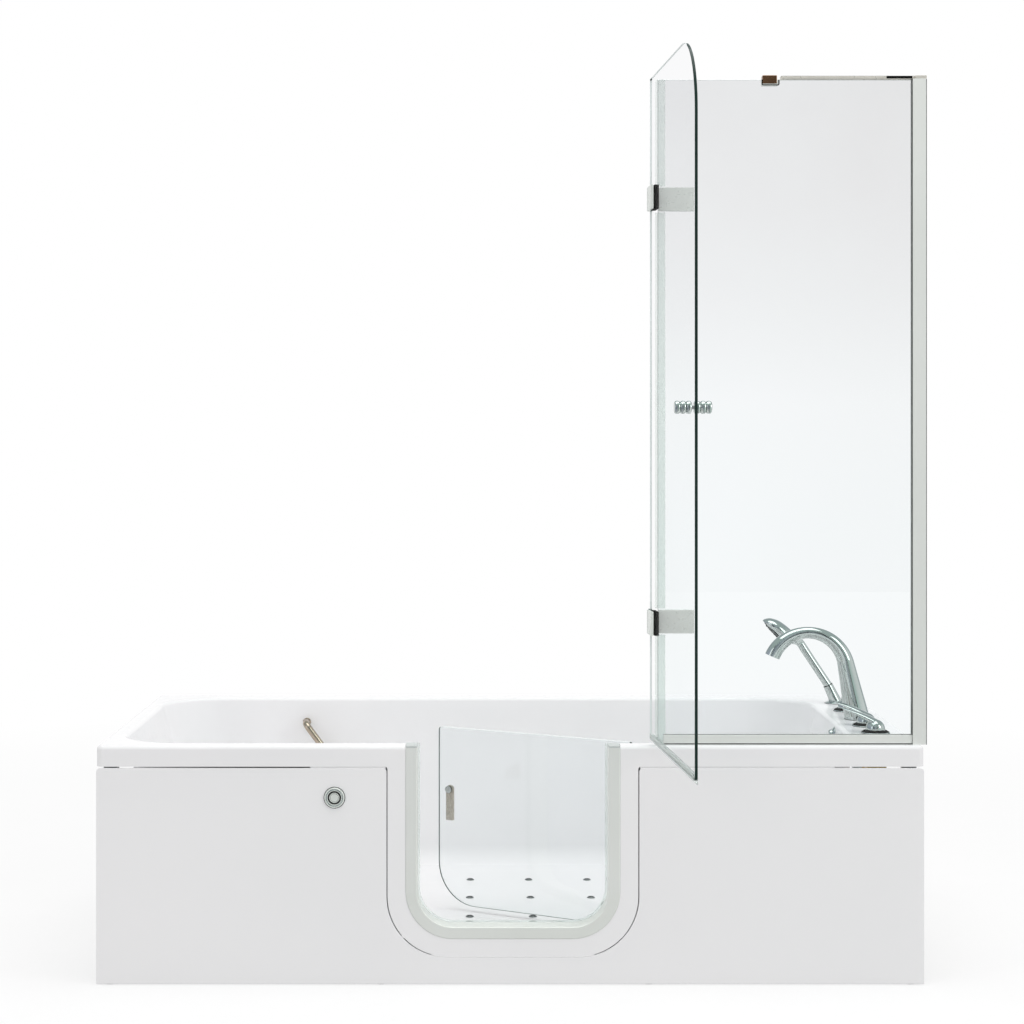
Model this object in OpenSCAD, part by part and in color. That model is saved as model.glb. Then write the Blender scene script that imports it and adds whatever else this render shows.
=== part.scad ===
// Walk-in bathtub with an inward-swinging glass door and a hinged shower screen.
// Origin on the floor under the middle of the rim, +X to the tap end, +Y to the back, +Z up.

/* [Rim and basin] */
// Length over the rim
tub_l = 1829; // [1780:1:1900]
// Width over the rim, front to back
tub_w = 914; // [880:1:960]
// Height of the rim above the floor
rim_h = 528; // [515:1:560]
// Height of the basin floor above the room's floor
basin_z = 100; // [96:0.5:104]
// Thickness of the acrylic shell
shell_t = 6; // [4:0.5:7]
// Width of the front deck
front_deck = 50; // [48:1:58]
// Width of the back deck
back_deck = 65; // [58:1:80]
// Width of the deck at the backrest end
left_deck = 38; // [38:1:60]
// Width of the deck that carries the taps
right_deck = 136; // [130:1:150]
// Radius of the rim's top edges
rim_edge_r = 9; // [8:0.5:12]
// Radius of the rim's corners seen from above
rim_corner_r = 14; // [10:1:30]
// Height of the rim's apron
apron_h = 46; // [36:1:60]
// Lean of the backrest from the vertical
backrest_lean = 16; // [8:0.5:20]
// Lean of the wall under the taps
tap_wall_lean = 3; // [0:0.5:5]
// Corner radius beside the backrest
backrest_corner_r = 140; // [80:1:170]
// Corner radius at the tap end
tap_corner_r = 150; // [80:1:170]
// Radius between floor and walls
floor_r = 45; // [25:1:60]
// Radius between floor and front wall, small so the door closes flat
front_floor_r = 14; // [8:1:16]

/* [Doorway] */
// Width over the metal door frame
frame_w = 474; // [440:1:490]
// Offset of the doorway's middle from the tub's middle
frame_x = 6; // [-20:1:20]
// Rise of the frame's lower edge above the basin's floor
frame_rise = 2; // [0:0.5:6]
// Width of the frame's band
frame_band = 26; // [18:1:32]
// Outer corner radius of the frame
frame_r = 105; // [80:1:130]
// How far the frame stands proud of the front
frame_proud = 2; // [1:0.5:4]
// Width of the acrylic flange beside the frame
flange_side = 40; // [24:1:46]
// Height of the acrylic flange under the frame
flange_low = 39; // [24:1:42]
// Width of the door seal's lip inside the frame
seal_lip = 4; // [2:0.5:6]
// Width of the door seal behind the frame
seal_back = 13; // [8:1:16]

/* [Tub door] */
// Distance from the door frame to the hinge axis
hinge_in = 42; // [38:1:46]
// Distance from the hinge axis to the door's free edge
door_w = 520; // [516:1:526]
// Rise of the door glass above the frame's lower edge
door_rise = 10; // [8:0.5:12]
// Gap from the rim's top down to the door glass's top
door_top_gap = 1; // [0:0.5:6]
// Thickness of the tub door's glass
door_t = 8; // [6:1:10]
// Radius of the door glass's lower corners
door_corner_r = 98; // [70:1:110]
// Angle that the tub door stands open at rest
door_rest = 30.5; // [10:0.5:60]
// Distance from the hinge axis to the glass
hinge_to_glass = 12; // [10:1:16]
// Distance from the inner front wall to the hinge axis
hinge_stand_off = 9; // [8.5:0.5:12]
// Rise of the lower hinge above the basin's floor
hinge_low_rise = 90; // [70:1:130]
// Drop of the upper hinge below the rim
hinge_high_drop = 78; // [58:1:128]
// Radius of the hinge knuckles
knuckle_r = 8; // [7:0.5:8]
// Radius of the hinge pins
hinge_pin_r = 4; // [3:0.5:5]
// Half height of a hinge leaf
leaf_half = 28; // [22:1:34]
// Half height of the fixed knuckle
knuckle_half = 12; // [8:1:16]
// Reach of the leaf along the glass
leaf_reach = 42; // [34:1:60]
// Thickness of the leaf
leaf_t = 5; // [3:0.5:6]

/* [Latch] */
// Distance of the latch lever from the door's free edge
latch_inset = 26; // [20:1:40]
// Drop of the latch pivot below the rim
latch_drop = 148; // [108:1:188]
// Width of the latch lever
latch_w = 19; // [16:1:24]
// Length of the latch lever below its pivot
latch_len = 73; // [60:1:90]
// Thickness of the latch lever
latch_t = 8; // [6:0.5:10]
// Radius of the latch pivot
latch_pin_r = 4; // [3:0.5:5]

/* [Push control] */
// Distance from the door frame to the push control's middle
button_out = 157; // [120:1:190]
// Drop of the push control below the rim
button_drop = 114; // [98:1:148]
// Radius of the bezel
bezel_r = 24; // [20:0.5:30]
// Radius of the button
button_r = 13.5; // [10:0.5:16]
// Travel of the button
button_travel = 3; // [1:0.5:4]

/* [Floor jets] */
// Spacing of the jets along the tub
jet_pitch_x = 146; // [130:1:150]
// Spacing of the jets across the tub
jet_pitch_y = 203; // [190:1:215]
// Position of the middle jet along the tub
jet_x = 55; // [40:1:70]
// Position of the middle jet across the tub
jet_y = -31; // [-40:1:-29]
// Radius of a jet's cap
jet_r = 9.5; // [8:0.5:10]

/* [Grab bar] */
// Distance from the backrest end to the bar's upper end
bar_inset = 394.5; // [354:0.5:434]
// Drop of the bar's upper end below the rim
bar_drop = 62; // [48:1:98]
// Length of the bar between its posts
bar_len = 300; // [240:1:320]
// Slope of the bar
bar_slope = 53; // [30:1:65]
// Radius of the bar
bar_r = 8.5; // [7:0.5:12]
// Width of the collars where the bar's ends meet the wall
bar_collar = 2; // [1.5:0.5:16]
// Distance from the wall to the bar's middle
bar_stand_off = 45; // [38:1:60]

/* [Waste and overflow] */
// Distance from the tap end to the drain
drain_inset = 274.5; // [255:0.5:314]
// Position of drain and overflow across the tub
drain_y = -81; // [-120:1:-50]
// Radius of the drain's flange
drain_r = 36; // [32:0.5:40]
// Travel of the stopper
stopper_travel = 12; // [6:1:16]
// Radius of the waste tail
tail_r = 19; // [16:0.5:22]
// Drop of the overflow below the rim
overflow_drop = 28; // [24:1:58]
// Radius of the overflow plate
overflow_r = 18; // [15:0.5:22]

/* [Taps] */
// Distance of the tap line from the tub's end
tap_inset = 70.5; // [66:0.5:80]
// Position of the spout across the tub
spout_y = -15; // [-30:1:10]
// Spacing of the two taps in front of the spout
tap_pitch_front = 118; // [112:1:125]
// Spacing of the tap and shower behind the spout
tap_pitch_back = 152; // [140:1:160]
// Length of the spout's straight leg
spout_leg = 137; // [100:1:180]
// Lean of the spout's leg
spout_lean = 11.7; // [5:0.1:16]
// Radius of the spout's bend
spout_bend_r = 93.5; // [80:0.5:110]
// Angle round the bend where the spout ends
spout_end = 157; // [140:1:170]
// Thickness of the spout at its foot
spout_foot = 61; // [50:1:62]
// Thickness of the spout at its crown
spout_crown = 28; // [24:1:34]
// Thickness of the spout at its mouth
spout_mouth = 37; // [32:1:42]
// Radius of a tap's escutcheon
escutcheon_r = 33; // [26:0.5:34]
// Radius of a lever's dome
dome_r = 22; // [18:0.5:24]
// Length of a tap lever
lever_len = 78; // [60:1:100]
// Direction of the two tap levers at rest
lever_turn = 155; // [150:1:175]
// Direction of the diverter's lever at rest
diverter_turn = 262; // [250:1:275]
// Rise of a tap lever's tip above its root
lever_rise = 22; // [14:1:30]
// Lean of the shower holder
holder_lean = 25.3; // [15:0.1:30]
// Height of the holder along its lean
holder_h = 52; // [46:1:60]
// Lean of the hand shower's handle
handle_lean = 33.5; // [25:0.5:38]
// Lean of the spray face
face_lean = 43.2; // [38:0.1:50]
// Thickness of the hand shower's handle
wand_d = 21; // [20:0.5:26]
// Length of the hand shower's handle
wand_len = 127; // [110:1:150]
// Length of the hand shower's head
head_l = 102; // [90:1:110]
// Width of the hand shower's head
head_w = 66; // [54:1:80]
// Thickness of the hand shower's head
head_t = 42; // [34:1:48]

/* [Shower screen] */
// Distance from the front to the middle of the glass
screen_in = 33; // [28:1:36]
// Height of the screen above the rim
screen_h = 1476; // [1300:1:1570]
// Thickness of the screen's glass
screen_t = 6; // [5:0.5:8]
// Width of the screen's fixed half, with its wall profile
fixed_w = 594; // [574:1:600]
// How far the wall profile stands past the tub's end
profile_over = 9.5; // [0:0.5:12]
// Width of the wall profile
profile_w = 31; // [26:1:36]
// Depth of the wall profile
profile_d = 28; // [24:1:30]
// Height of the bottom rail
rail_h = 21; // [16:1:28]
// Depth of the bottom rail
rail_d = 20; // [16:1:24]
// Width of the clear strip on the fixed glass's edge
edge_seal_w = 18; // [14:1:22]
// Distance from the fixed glass to the screen door's hinge axis
swing_out = 17.5; // [14:0.5:22]
// Distance from the axis to the screen door's free edge
swing_w = 588; // [540:1:620]
// Gap from the rim to the screen door's glass
swing_gap = 14; // [13:0.5:24]
// Angle that the screen door stands open at rest
swing_rest = 94.2; // [30:0.1:110]
// Radius of the screen door's top outer corner
swing_corner_r = 155; // [60:1:180]
// Distance from the axis to the screen door's glass
swing_inset = 10; // [9:0.5:14]
// Rise of the lower screen hinge above the rim
swing_low_rise = 272; // [172:1:372]
// Drop of the upper screen hinge below the screen's top
swing_high_drop = 266; // [244:1:500]
// Width of a fixed hinge plate
plate_w = 78; // [60:1:90]
// Width of a swinging hinge plate
door_plate_w = 48; // [40:1:60]
// Thickness of the hinge plates
plate_t = 6; // [4:0.5:7]
// Half height of the hinge plates
plate_half = 26; // [22:1:32]
// Rise of the screen door's knob above the rim
knob_rise = 741; // [572:1:872]
// Distance of the knob from the free edge
knob_inset = 40; // [30:1:60]
// Radius of the knob
knob_r = 13; // [10:0.5:18]
// Length of one half of the knob
knob_len = 34; // [24:1:40]
// Distance from the fixed glass's left end to the brace clamp
clamp_in = 231; // [150:1:350]
// Length of the brace clamp
clamp_l = 40; // [30:1:50]
// Thickness of the brace bar
brace_t = 7; // [5:0.5:9]

/* [Frame and feet] */
// Size of the square steel tube
tube = 30; // [25:1:32]
// Ground clearance of the front panel
panel_lift = 2; // [2:0.5:8]
// Thickness of the front panel
panel_t = 5; // [4:0.5:6]
// Radius of a foot pad
pad_r = 25; // [20:1:28]
// Height of a foot pad
pad_h = 8; // [6:1:12]
// Radius of a foot's threaded stem
stem_r = 6; // [5:0.5:8]

/* [Clearances] */
// Gap between flat parts that move past each other
gap = 0.3; // [0.2:0.05:0.5]
// Radial gap of a running pin
pin_gap = 0.05; // [0.03:0.01:0.1]
// Width of the joint line round the front panel
reveal = 2; // [1.5:0.5:4]

/* [Hidden] */
$fn = 64;

far = 3000;                                     // longer than the object, for cuts
front_y = -tub_w / 2;
inner_front = front_y + front_deck;             // inner face of the front wall
inner_back = tub_w / 2 - back_deck;             // inner face of the back wall
deck_under = rim_h - shell_t;                   // underside of the deck
floor_under = basin_z - shell_t;                // underside of the basin floor
steel_x = tub_l / 2 - 14.5;                     // outer faces of the steel frame
steel_front = front_y + 12;
steel_back = tub_w / 2 - 15;
rail_z = floor_under - tube;                    // underside of the lower rails

frame_left = frame_x - frame_w / 2;
frame_right = frame_x + frame_w / 2;
frame_z = basin_z + frame_rise;
door_z = frame_z + door_rise;
hinge_low_z = basin_z + hinge_low_rise;
hinge_high_z = rim_h - hinge_high_drop;
latch_z = rim_h - latch_drop;
button_x = frame_left - button_out;
button_z = rim_h - button_drop;
bar_x = -tub_l / 2 + bar_inset;
bar_z = rim_h - bar_drop;
drain_x = tub_l / 2 - drain_inset;
overflow_z = rim_h - overflow_drop;
hinge_x = frame_right + hinge_in;               // tub door's hinge axis
hinge_y = inner_front + hinge_stand_off;
door_top = rim_h - door_top_gap;
latch_x = -door_w + latch_inset;                // latch pivot in the closed door
latch_face = door_t / 2 + gap;                  // lever's outer face, from the glass's middle

tap_x = tub_l / 2 - tap_inset;
cold_y = spout_y - tap_pitch_front;
hot_y = cold_y - tap_pitch_front;
diverter_y = spout_y + tap_pitch_back;
shower_y = diverter_y + tap_pitch_back;
valve_half = 22;                                // half width of the blocks under the deck
valve_top = rim_h - 43;
valve_low = rim_h - 83;
neck_r = 13.5;                                  // neck of a fitting through the deck
stem_bore = 8;                                  // radius of a tap's turning stem
escutcheon_h = 7;
dome_h = 24;
dome_foot = 2;                                  // straight foot below a dome's curve
lever_z = rim_h + escutcheon_h + gap;

screen_y = front_y + screen_in;
screen_top = rim_h + screen_h;
rail_top = rim_h + rail_h;
glass_low = rim_h + 7;                          // fixed glass stands in the rail's slot
profile_out = tub_l / 2 + profile_over;         // outer face of the wall profile
profile_in = profile_out - profile_w;
fixed_end = profile_out - 19;                   // right end of the fixed glass
fixed_x = profile_out - fixed_w;                // left end of the fixed glass
swing_x = fixed_x - swing_out;
swing_low_z = rim_h + swing_low_rise;
swing_high_z = screen_top - swing_high_drop;
knob_z = rim_h + knob_rise;
profile_wall = 3;
swing_z = rim_h + swing_gap;
swing_top = screen_top;
clamp_x = fixed_x + clamp_in;
brace_z = screen_top + 1;                       // underside of the brace bar
notch_half = 16;                                // half height of a hinge notch in the glass
web_half = 5;                                   // half thickness of a screen hinge's web
lip_x = swing_x + norm([swing_inset, screen_t / 2]) + 2 * gap;  // just clear of the turning glass
swing_pin_r = 3;
swing_knuckle = 11.8;

steel = "#b9bab8";
satin = "#c9cbc4";
chrome = "#d3d8dc";
nickel = "#b3a999";
acrylic = "#f5f5f6";
clear = "#dbeceb";
rubber = "#3a3d3e";
plastic = "#e8e8e6";
brass = "#c7a96a";

function arc_pts(cx, cy, r, a0, a1, n = 8) =
    [for (i = [0:n]) let (a = a0 + (a1 - a0) * i / n) [cx + r * cos(a), cy + r * sin(a)]];
function left_wall(z) = -tub_l / 2 + left_deck + (rim_h - z) * tan(backrest_lean);
function right_wall(z) = tub_l / 2 - right_deck - (rim_h - z) * tan(tap_wall_lean);
function ease(u) = u * u * (3 - 2 * u);

// 2D outline in X and Z, drawn out along Y
module along_y(y0, y1) {
    translate([0, y1, 0]) rotate([90, 0, 0]) linear_extrude(y1 - y0) children();
}

// 2D outline in Y and Z, drawn out along X
module along_x(x0, x1) {
    translate([x0, 0, 0]) rotate([90, 0, 90]) linear_extrude(x1 - x0) children();
}

module block(x0, x1, y0, y1, z0, z1) {
    translate([x0, y0, z0]) cube([x1 - x0, y1 - y0, z1 - z0]);
}

module rod(r, z0, z1) {
    translate([0, 0, z0]) cylinder(r = r, h = z1 - z0);
}

// Rectangle with its own radius at each corner, counter-clockwise from x0, y0
module round_rect(x0, x1, y0, y1, r) {
    polygon([[x0 + r[0], y0], [x1 - r[1], y0], [x1, y0 + r[1]], [x1, y1 - r[2]],
        [x1 - r[2], y1], [x0 + r[3], y1], [x0, y1 - r[3]], [x0, y0 + r[0]]]);
    translate([x0 + r[0], y0 + r[0]]) circle(r = r[0]);
    translate([x1 - r[1], y0 + r[1]]) circle(r = r[1]);
    translate([x1 - r[2], y1 - r[2]]) circle(r = r[2]);
    translate([x0 + r[3], y1 - r[3]]) circle(r = r[3]);
}

// U outline: square at the top, round at the two lower corners
module u_shape(x0, x1, z0, r, top) {
    polygon([[x0 + r, z0], [x1 - r, z0], [x1, z0 + r], [x1, top], [x0, top], [x0, z0 + r]]);
    translate([x0 + r, z0 + r]) circle(r = r);
    translate([x1 - r, z0 + r]) circle(r = r);
}

// Outline of the doorway, grown outwards by d
module doorway(d, top) {
    u_shape(frame_left - d, frame_right + d, frame_z - d, frame_r + d, top);
}

// Outline that is round at its two upper corners
module top_round(x0, x1, z0, z1, r) {
    polygon([[x0, z0], [x1, z0], [x1, z1 - r], [x1 - r, z1], [x0 + r, z1], [x0, z1 - r]]);
    translate([x0 + r, z1 - r]) circle(r = r);
    translate([x1 - r, z1 - r]) circle(r = r);
}

// Tapering tube round a path in X and Z, thick in that plane and wide along Y.
// Each ring faces along the path, or along its own lean where a list of leans is given.
module loft(path, thick, wide, leans = [], sides = 20) {
    last = len(path) - 1;
    function tangent(i) = len(leans) > 0 ? [-sin(leans[i]), cos(leans[i])]
        : let (a = path[max(i - 1, 0)], b = path[min(i + 1, last)], d = b - a) d / norm(d);
    rings = [for (i = [0:last]) let (t = tangent(i)) for (j = [0:sides - 1])
        let (a = 360 * j / sides, s = thick[i] / 2 * sin(a), w = wide[i] / 2 * cos(a))
        [path[i][0] - t[1] * s, w, path[i][1] + t[0] * s]];
    walls = [for (i = [0:last - 1]) for (j = [0:sides - 1])
        let (k = (j + 1) % sides, a = i * sides, b = a + sides)
        each [[a + j, b + j, b + k], [a + j, b + k, a + k]]];
    foot = [for (j = [1:sides - 2]) [0, j, j + 1]];
    head = [for (j = [1:sides - 2]) [last * sides, last * sides + j + 1, last * sides + j]];
    polyhedron(points = rings, faces = concat(foot, walls, head), convexity = 8);
}

// ---- shell ----

// Solid rim with rounded top edges, inset by o
module rim_block(o, z0) {
    intersection() {
        translate([0, 0, z0]) linear_extrude(rim_h - o - z0)
            round_rect(-tub_l / 2 + o, tub_l / 2 - o, front_y + o, tub_w / 2 - o,
                [for (i = [0:3]) rim_corner_r - o]);
        along_x(-far, far) top_round(front_y + o, tub_w / 2 - o, z0, rim_h - o, rim_edge_r - o);
        along_y(-far, far) top_round(-tub_l / 2 + o, tub_l / 2 - o, z0, rim_h - o, rim_edge_r - o);
    }
}

// The basin's hollow, grown outwards by o and ending at top
module basin_block(o, top) {
    a = backrest_lean;
    b = tap_wall_lean;
    cz = basin_z + floor_r;
    end_left = left_wall(cz) + floor_r / cos(a);
    end_right = right_wall(cz) - floor_r / cos(b);
    intersection() {
        translate([left_wall(rim_h), 0, rim_h]) rotate([0, -a, 0]) translate([0, 0, -far / 2])
            linear_extrude(far) round_rect(-o, far, inner_front - o, inner_back + o,
                [backrest_corner_r + o, 1, 1, backrest_corner_r + o]);
        translate([right_wall(rim_h), 0, rim_h]) rotate([0, b, 0]) translate([0, 0, -far / 2])
            linear_extrude(far) round_rect(-far, o, inner_front - o, inner_back + o,
                [1, tap_corner_r + o, tap_corner_r + o, 1]);
        along_y(-far, far) polygon(concat(
            [[left_wall(top) - o / cos(a), top]],
            arc_pts(end_left, cz, floor_r + o, 180 + a, 270),
            arc_pts(end_right, cz, floor_r + o, 270, 360 - b),
            [[right_wall(top) + o / cos(b), top]]));
        along_x(-far, far) polygon(concat(
            [[inner_front - o, top]],
            arc_pts(inner_front + front_floor_r, basin_z + front_floor_r, front_floor_r + o, 180, 270),
            arc_pts(inner_back - floor_r, cz, floor_r + o, 270, 360),
            [[inner_back + o, top]]));
    }
}

// Places things on the wall under the taps, +Z into the basin
module on_tap_wall(y, z) {
    translate([right_wall(z), y, z]) rotate([0, tap_wall_lean - 90, 0]) children();
}

module at_jets() {
    for (i = [-1:1], j = [-1:1])
        translate([jet_x + i * jet_pitch_x, jet_y + j * jet_pitch_y, 0]) children();
}

module at_taps() {
    for (y = [hot_y, cold_y, diverter_y]) translate([tap_x, y, 0]) children();
}

module tub_shell() {
    color(acrylic) difference() {
        union() {
            difference() {
                rim_block(0, rim_h - apron_h);
                rim_block(shell_t, rim_h - apron_h - 1);
            }
            basin_block(shell_t, rim_h - shell_t / 2);
            along_y(front_y, front_y + shell_t) intersection() {
                u_shape(frame_left - flange_side, frame_right + flange_side, frame_z - flange_low,
                    frame_r + (flange_side + flange_low) / 2 - 12, rim_h - shell_t);
                translate([-far, 0]) square([2 * far, rim_h - shell_t]);
            }
            along_y(front_y, inner_front - shell_t / 2) doorway(shell_t, rim_h - shell_t / 2);
        }
        basin_block(0, rim_h + 1);
        along_y(front_y - 1, inner_front + 1) doorway(0, rim_h + 1);
        at_jets() rod(jet_r - 2 + gap, floor_under - 1, basin_z + 1);
        translate([drain_x, drain_y, 0]) rod(drain_r - 12 + gap, floor_under - 1, basin_z + 1);
        on_tap_wall(drain_y, overflow_z) rod(overflow_r - 8 + gap, -shell_t - 2, 2);
        at_taps() rod(neck_r + gap, deck_under - 1, rim_h + 1);
        translate([tap_x, spout_y, 0]) rod(neck_r + gap, deck_under - 1, rim_h + 1);
        translate([tap_x, shower_y, 0]) rod(neck_r + gap, deck_under - 1, rim_h + 1);
    }
}

// ---- front panel, steel frame and feet ----

panel_top = rim_h - apron_h - reveal - 1;
upright_x = [-steel_x, frame_left - flange_side - tube, frame_right + flange_side + 8, steel_x - tube];
header_x = jet_x + jet_pitch_x + 69;            // middle of the air channel's cross duct
back_rail = -steel_x + 280;                     // cross rails of the steel frame, left faces
jet_rail = jet_x - jet_pitch_x - 109;
header_rail = header_x + 70;
drain_rail = drain_x + 100;
clip_h = 30;
clip_z = [floor_under + 56, panel_top - clip_h - 29];
foot_front = front_y + panel_t + pad_r + 2;     // front feet stand just behind the panel

module panel_outline(inset, top_inset) {
    difference() {
        round_rect(-tub_l / 2 + inset, tub_l / 2 - inset, panel_lift + inset, panel_top - top_inset,
            [2, 2, 9, 9]);
        u_shape(frame_left - flange_side - reveal - inset, frame_right + flange_side + reveal + inset,
            frame_z - flange_low - reveal - inset,
            frame_r + (flange_side + flange_low) / 2 - 12 + reveal + inset, rim_h);
    }
}

module front_panel() {
    color(acrylic) difference() {
        union() {
            along_y(front_y, front_y + panel_t) panel_outline(0, 0);
            for (x = [-tub_l / 2, tub_l / 2 - panel_t])
                block(x, x + panel_t, front_y + panel_t / 2, front_y + 30, panel_lift + 6, panel_top - 10);
        }
        translate([button_x, front_y, button_z]) rotate([90, 0, 0]) rod(bezel_r - 5, -panel_t - 1, 1);
    }
}

module panel_clips() {
    color(steel) for (x = upright_x, z = clip_z)
        block(x + tube / 2 - 10, x + tube / 2 + 10, front_y + panel_t, steel_front, z, z + clip_h);
}

module support_frame() {
    color(steel) union() {
        block(-steel_x, steel_x, steel_front, steel_front + tube, rail_z, floor_under);
        block(-steel_x, steel_x, steel_back - tube, steel_back, rail_z, floor_under);
        for (x = [-steel_x, back_rail, jet_rail, header_rail, drain_rail, steel_x - tube])
            block(x, x + tube, steel_front, steel_back, rail_z, floor_under);
        block(back_rail, header_rail + tube, -tube / 2, tube / 2, rail_z, floor_under);
        for (x = upright_x)
            block(x, x + tube, steel_front, steel_front + tube, floor_under - 1, deck_under);
        for (x = [-steel_x, back_rail, jet_rail, header_rail, steel_x - tube])
            block(x, x + tube, steel_back - tube, steel_back, floor_under - 1, deck_under);
        block(steel_x - tube, steel_x, blower_y - tube / 2, blower_y + tube / 2, floor_under - 1, deck_under);
    }
}

foot_spots = [[-steel_x + tube / 2, foot_front], [steel_x - tube / 2, foot_front],
    [-steel_x + tube / 2, steel_back - tube / 2], [steel_x - tube / 2, steel_back - tube / 2],
    [upright_x[1] + tube / 2, foot_front], [upright_x[2] + tube / 2, foot_front], [0, 0]];

module at_feet() {
    for (p = foot_spots) translate([p[0], p[1], 0]) children();
}

module foot_stems() {
    color(steel) at_feet() {
        rod(stem_r, pad_h, rail_z);
        translate([0, 0, pad_h + 3]) cylinder(r = stem_r * 1.9, h = 8, $fn = 6);
        translate([0, 0, rail_z - 9]) cylinder(r = stem_r * 1.9, h = 9, $fn = 6);
    }
}

module foot_pads() {
    color(rubber) at_feet() rotate_extrude()
        polygon([[0, 0], [pad_r, 0], [pad_r, pad_h * 0.4], [pad_r * 0.6, pad_h], [0, pad_h]]);
}

// ---- doorway ----

module door_frame() {
    color(satin) along_y(front_y - frame_proud, inner_front) difference() {
        doorway(0, rim_h);
        doorway(-frame_band, rim_h + 1);
    }
}

seal_t = hinge_stand_off - door_t / 2 - gap;    // seal stops just short of the closed glass

module door_seal() {
    color(clear) along_y(inner_front, inner_front + seal_t) difference() {
        doorway(seal_back - frame_band, door_top);
        doorway(-frame_band - seal_lip, rim_h + 1);
    }
}

// ---- tub door, drawn closed and turned to its rest angle ----

module on_tub_door() {
    translate([hinge_x, hinge_y, 0]) rotate([0, 0, -door_rest]) children();
}

module at_tub_hinges() {
    for (z = [hinge_low_z, hinge_high_z]) translate([0, 0, z]) children();
}

module door_glass() {
    color(clear, 0.4) on_tub_door() difference() {
        along_y(-door_t / 2, door_t / 2) round_rect(-door_w, -hinge_to_glass, door_z, door_top,
            [door_corner_r, door_corner_r / 2, 8, 8]);
        at_tub_hinges() for (z = [-leaf_half / 2, leaf_half / 2])
            translate([-leaf_reach + 8, 0, z]) rotate([90, 0, 0]) {
                rod(4, -door_t, door_t);
                translate([0, 0, door_t / 2 - 3]) cylinder(r1 = 4, r2 = 8, h = 3.01);
            }
        translate([latch_x, 0, latch_z]) rotate([90, 0, 0]) {
            rod(latch_pin_r + pin_gap, -door_t, door_t);
            translate([0, 0, door_t / 2 - 4]) cylinder(r1 = latch_pin_r, r2 = 9, h = 4.01);
        }
    }
}

module hinge_leaves() {
    inner = door_t / 2;
    color(nickel) on_tub_door() at_tub_hinges() difference() {
        union() {
            block(-leaf_reach, 0, inner, inner + leaf_t, -leaf_half, leaf_half);
            for (s = [-1, 1]) translate([0, 0, s * (leaf_half + knuckle_half + gap) / 2]) {
                half = (leaf_half - knuckle_half - gap) / 2;
                rod(knuckle_r, -half, half);
                block(-knuckle_r, 0, 0, inner + leaf_t - 1, -half, half);
            }
        }
        rod(hinge_pin_r + pin_gap, -leaf_half - 1, leaf_half + 1);
        rod(knuckle_r + 1, -knuckle_half - gap, knuckle_half + gap);
        for (z = [-leaf_half / 2, leaf_half / 2]) translate([-leaf_reach + 8, 0, z]) rotate([90, 0, 0])
            rod(3.9, -inner - leaf_t - 1, 0);
    }
}

module hinge_bolts() {
    color(chrome) on_tub_door() at_tub_hinges() for (z = [-leaf_half / 2, leaf_half / 2])
        translate([-leaf_reach + 8, 0, z]) rotate([90, 0, 0]) {
            rod(3.7, -door_t / 2 - leaf_t, door_t / 2 - 2);
            translate([0, 0, door_t / 2 - 2.8]) cylinder(r1 = 3.8, r2 = 7.2, h = 2.8);
            rod(6.5, -door_t / 2 - leaf_t - 2.5, -door_t / 2 - leaf_t);
        }
}

bracket_t = 5;

module hinge_brackets() {
    plate_x = knuckle_r + 1;
    bracket_w = 38;
    color(nickel) translate([hinge_x, hinge_y, 0]) at_tub_hinges() difference() {
        union() {
            block(plate_x, plate_x + bracket_w, -hinge_stand_off, bracket_t - hinge_stand_off,
                -leaf_half, leaf_half);
            block(0, plate_x + 2, -hinge_stand_off + gap, -2, -knuckle_half, knuckle_half);
            rod(knuckle_r, -knuckle_half, knuckle_half);
        }
        rod(hinge_pin_r + pin_gap, -leaf_half, leaf_half);
    }
}

module hinge_pins() {
    color(chrome) translate([hinge_x, hinge_y, 0]) at_tub_hinges() {
        rod(hinge_pin_r, -leaf_half, leaf_half + gap);
        rod(hinge_pin_r + 2, leaf_half + gap, leaf_half + 3);
    }
}

keeper_x = hinge_x - door_w + latch_inset - latch_len;  // tip of the lever when it is latched
keeper_z = latch_z + latch_w / 2 + 1.5;                 // web just above the latched lever
lever_back = hinge_stand_off + latch_face + latch_t + gap;

module latch_keeper() {
    color(nickel) translate([keeper_x, inner_front, 0]) union() {
        block(0, 30, 0, 4, latch_z - 14, keeper_z + 12);
        block(0, 30, 0, lever_back + 5, keeper_z, keeper_z + 5);
        block(0, 30, lever_back, lever_back + 5, latch_z - 12, keeper_z + 5);
    }
}

module inner_wall_screws() {
    color(chrome) {
        translate([hinge_x, inner_front + bracket_t, 0]) at_tub_hinges() for (z = [-18, 18])
            translate([knuckle_r + 26, 0, z]) rotate([-90, 0, 0]) cylinder(r1 = 5, r2 = 3.5, h = 2);
        for (x = [8, 22]) translate([keeper_x + x, inner_front + 4, latch_z - 8]) rotate([-90, 0, 0])
            cylinder(r1 = 4, r2 = 3, h = 1.5);
    }
}

module latch_lever() {
    color(nickel) on_tub_door() difference() {
        translate([latch_x, 0, latch_z]) along_y(latch_face, latch_face + latch_t) union() {
            circle(d = latch_w);
            translate([-latch_w / 2, -latch_len]) square([latch_w, latch_len]);
        }
        translate([latch_x, 0, latch_z]) rotate([90, 0, 0]) rod(latch_pin_r + pin_gap, -far, far);
    }
}

module latch_pivot() {
    back = latch_face + latch_t + gap;
    color(chrome) on_tub_door() translate([latch_x, 0, latch_z]) rotate([90, 0, 0]) {
        rod(latch_pin_r, -back - 2, door_t / 2 - 3);
        translate([0, 0, door_t / 2 - 3.9]) cylinder(r1 = latch_pin_r, r2 = 8.6, h = 3.9);
        rod(7, -back - 2, -back);
    }
}

// ---- push control ----

button_stem = 6;

module on_button() {
    translate([button_x, front_y, button_z]) rotate([90, 0, 0]) children();
}

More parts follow.
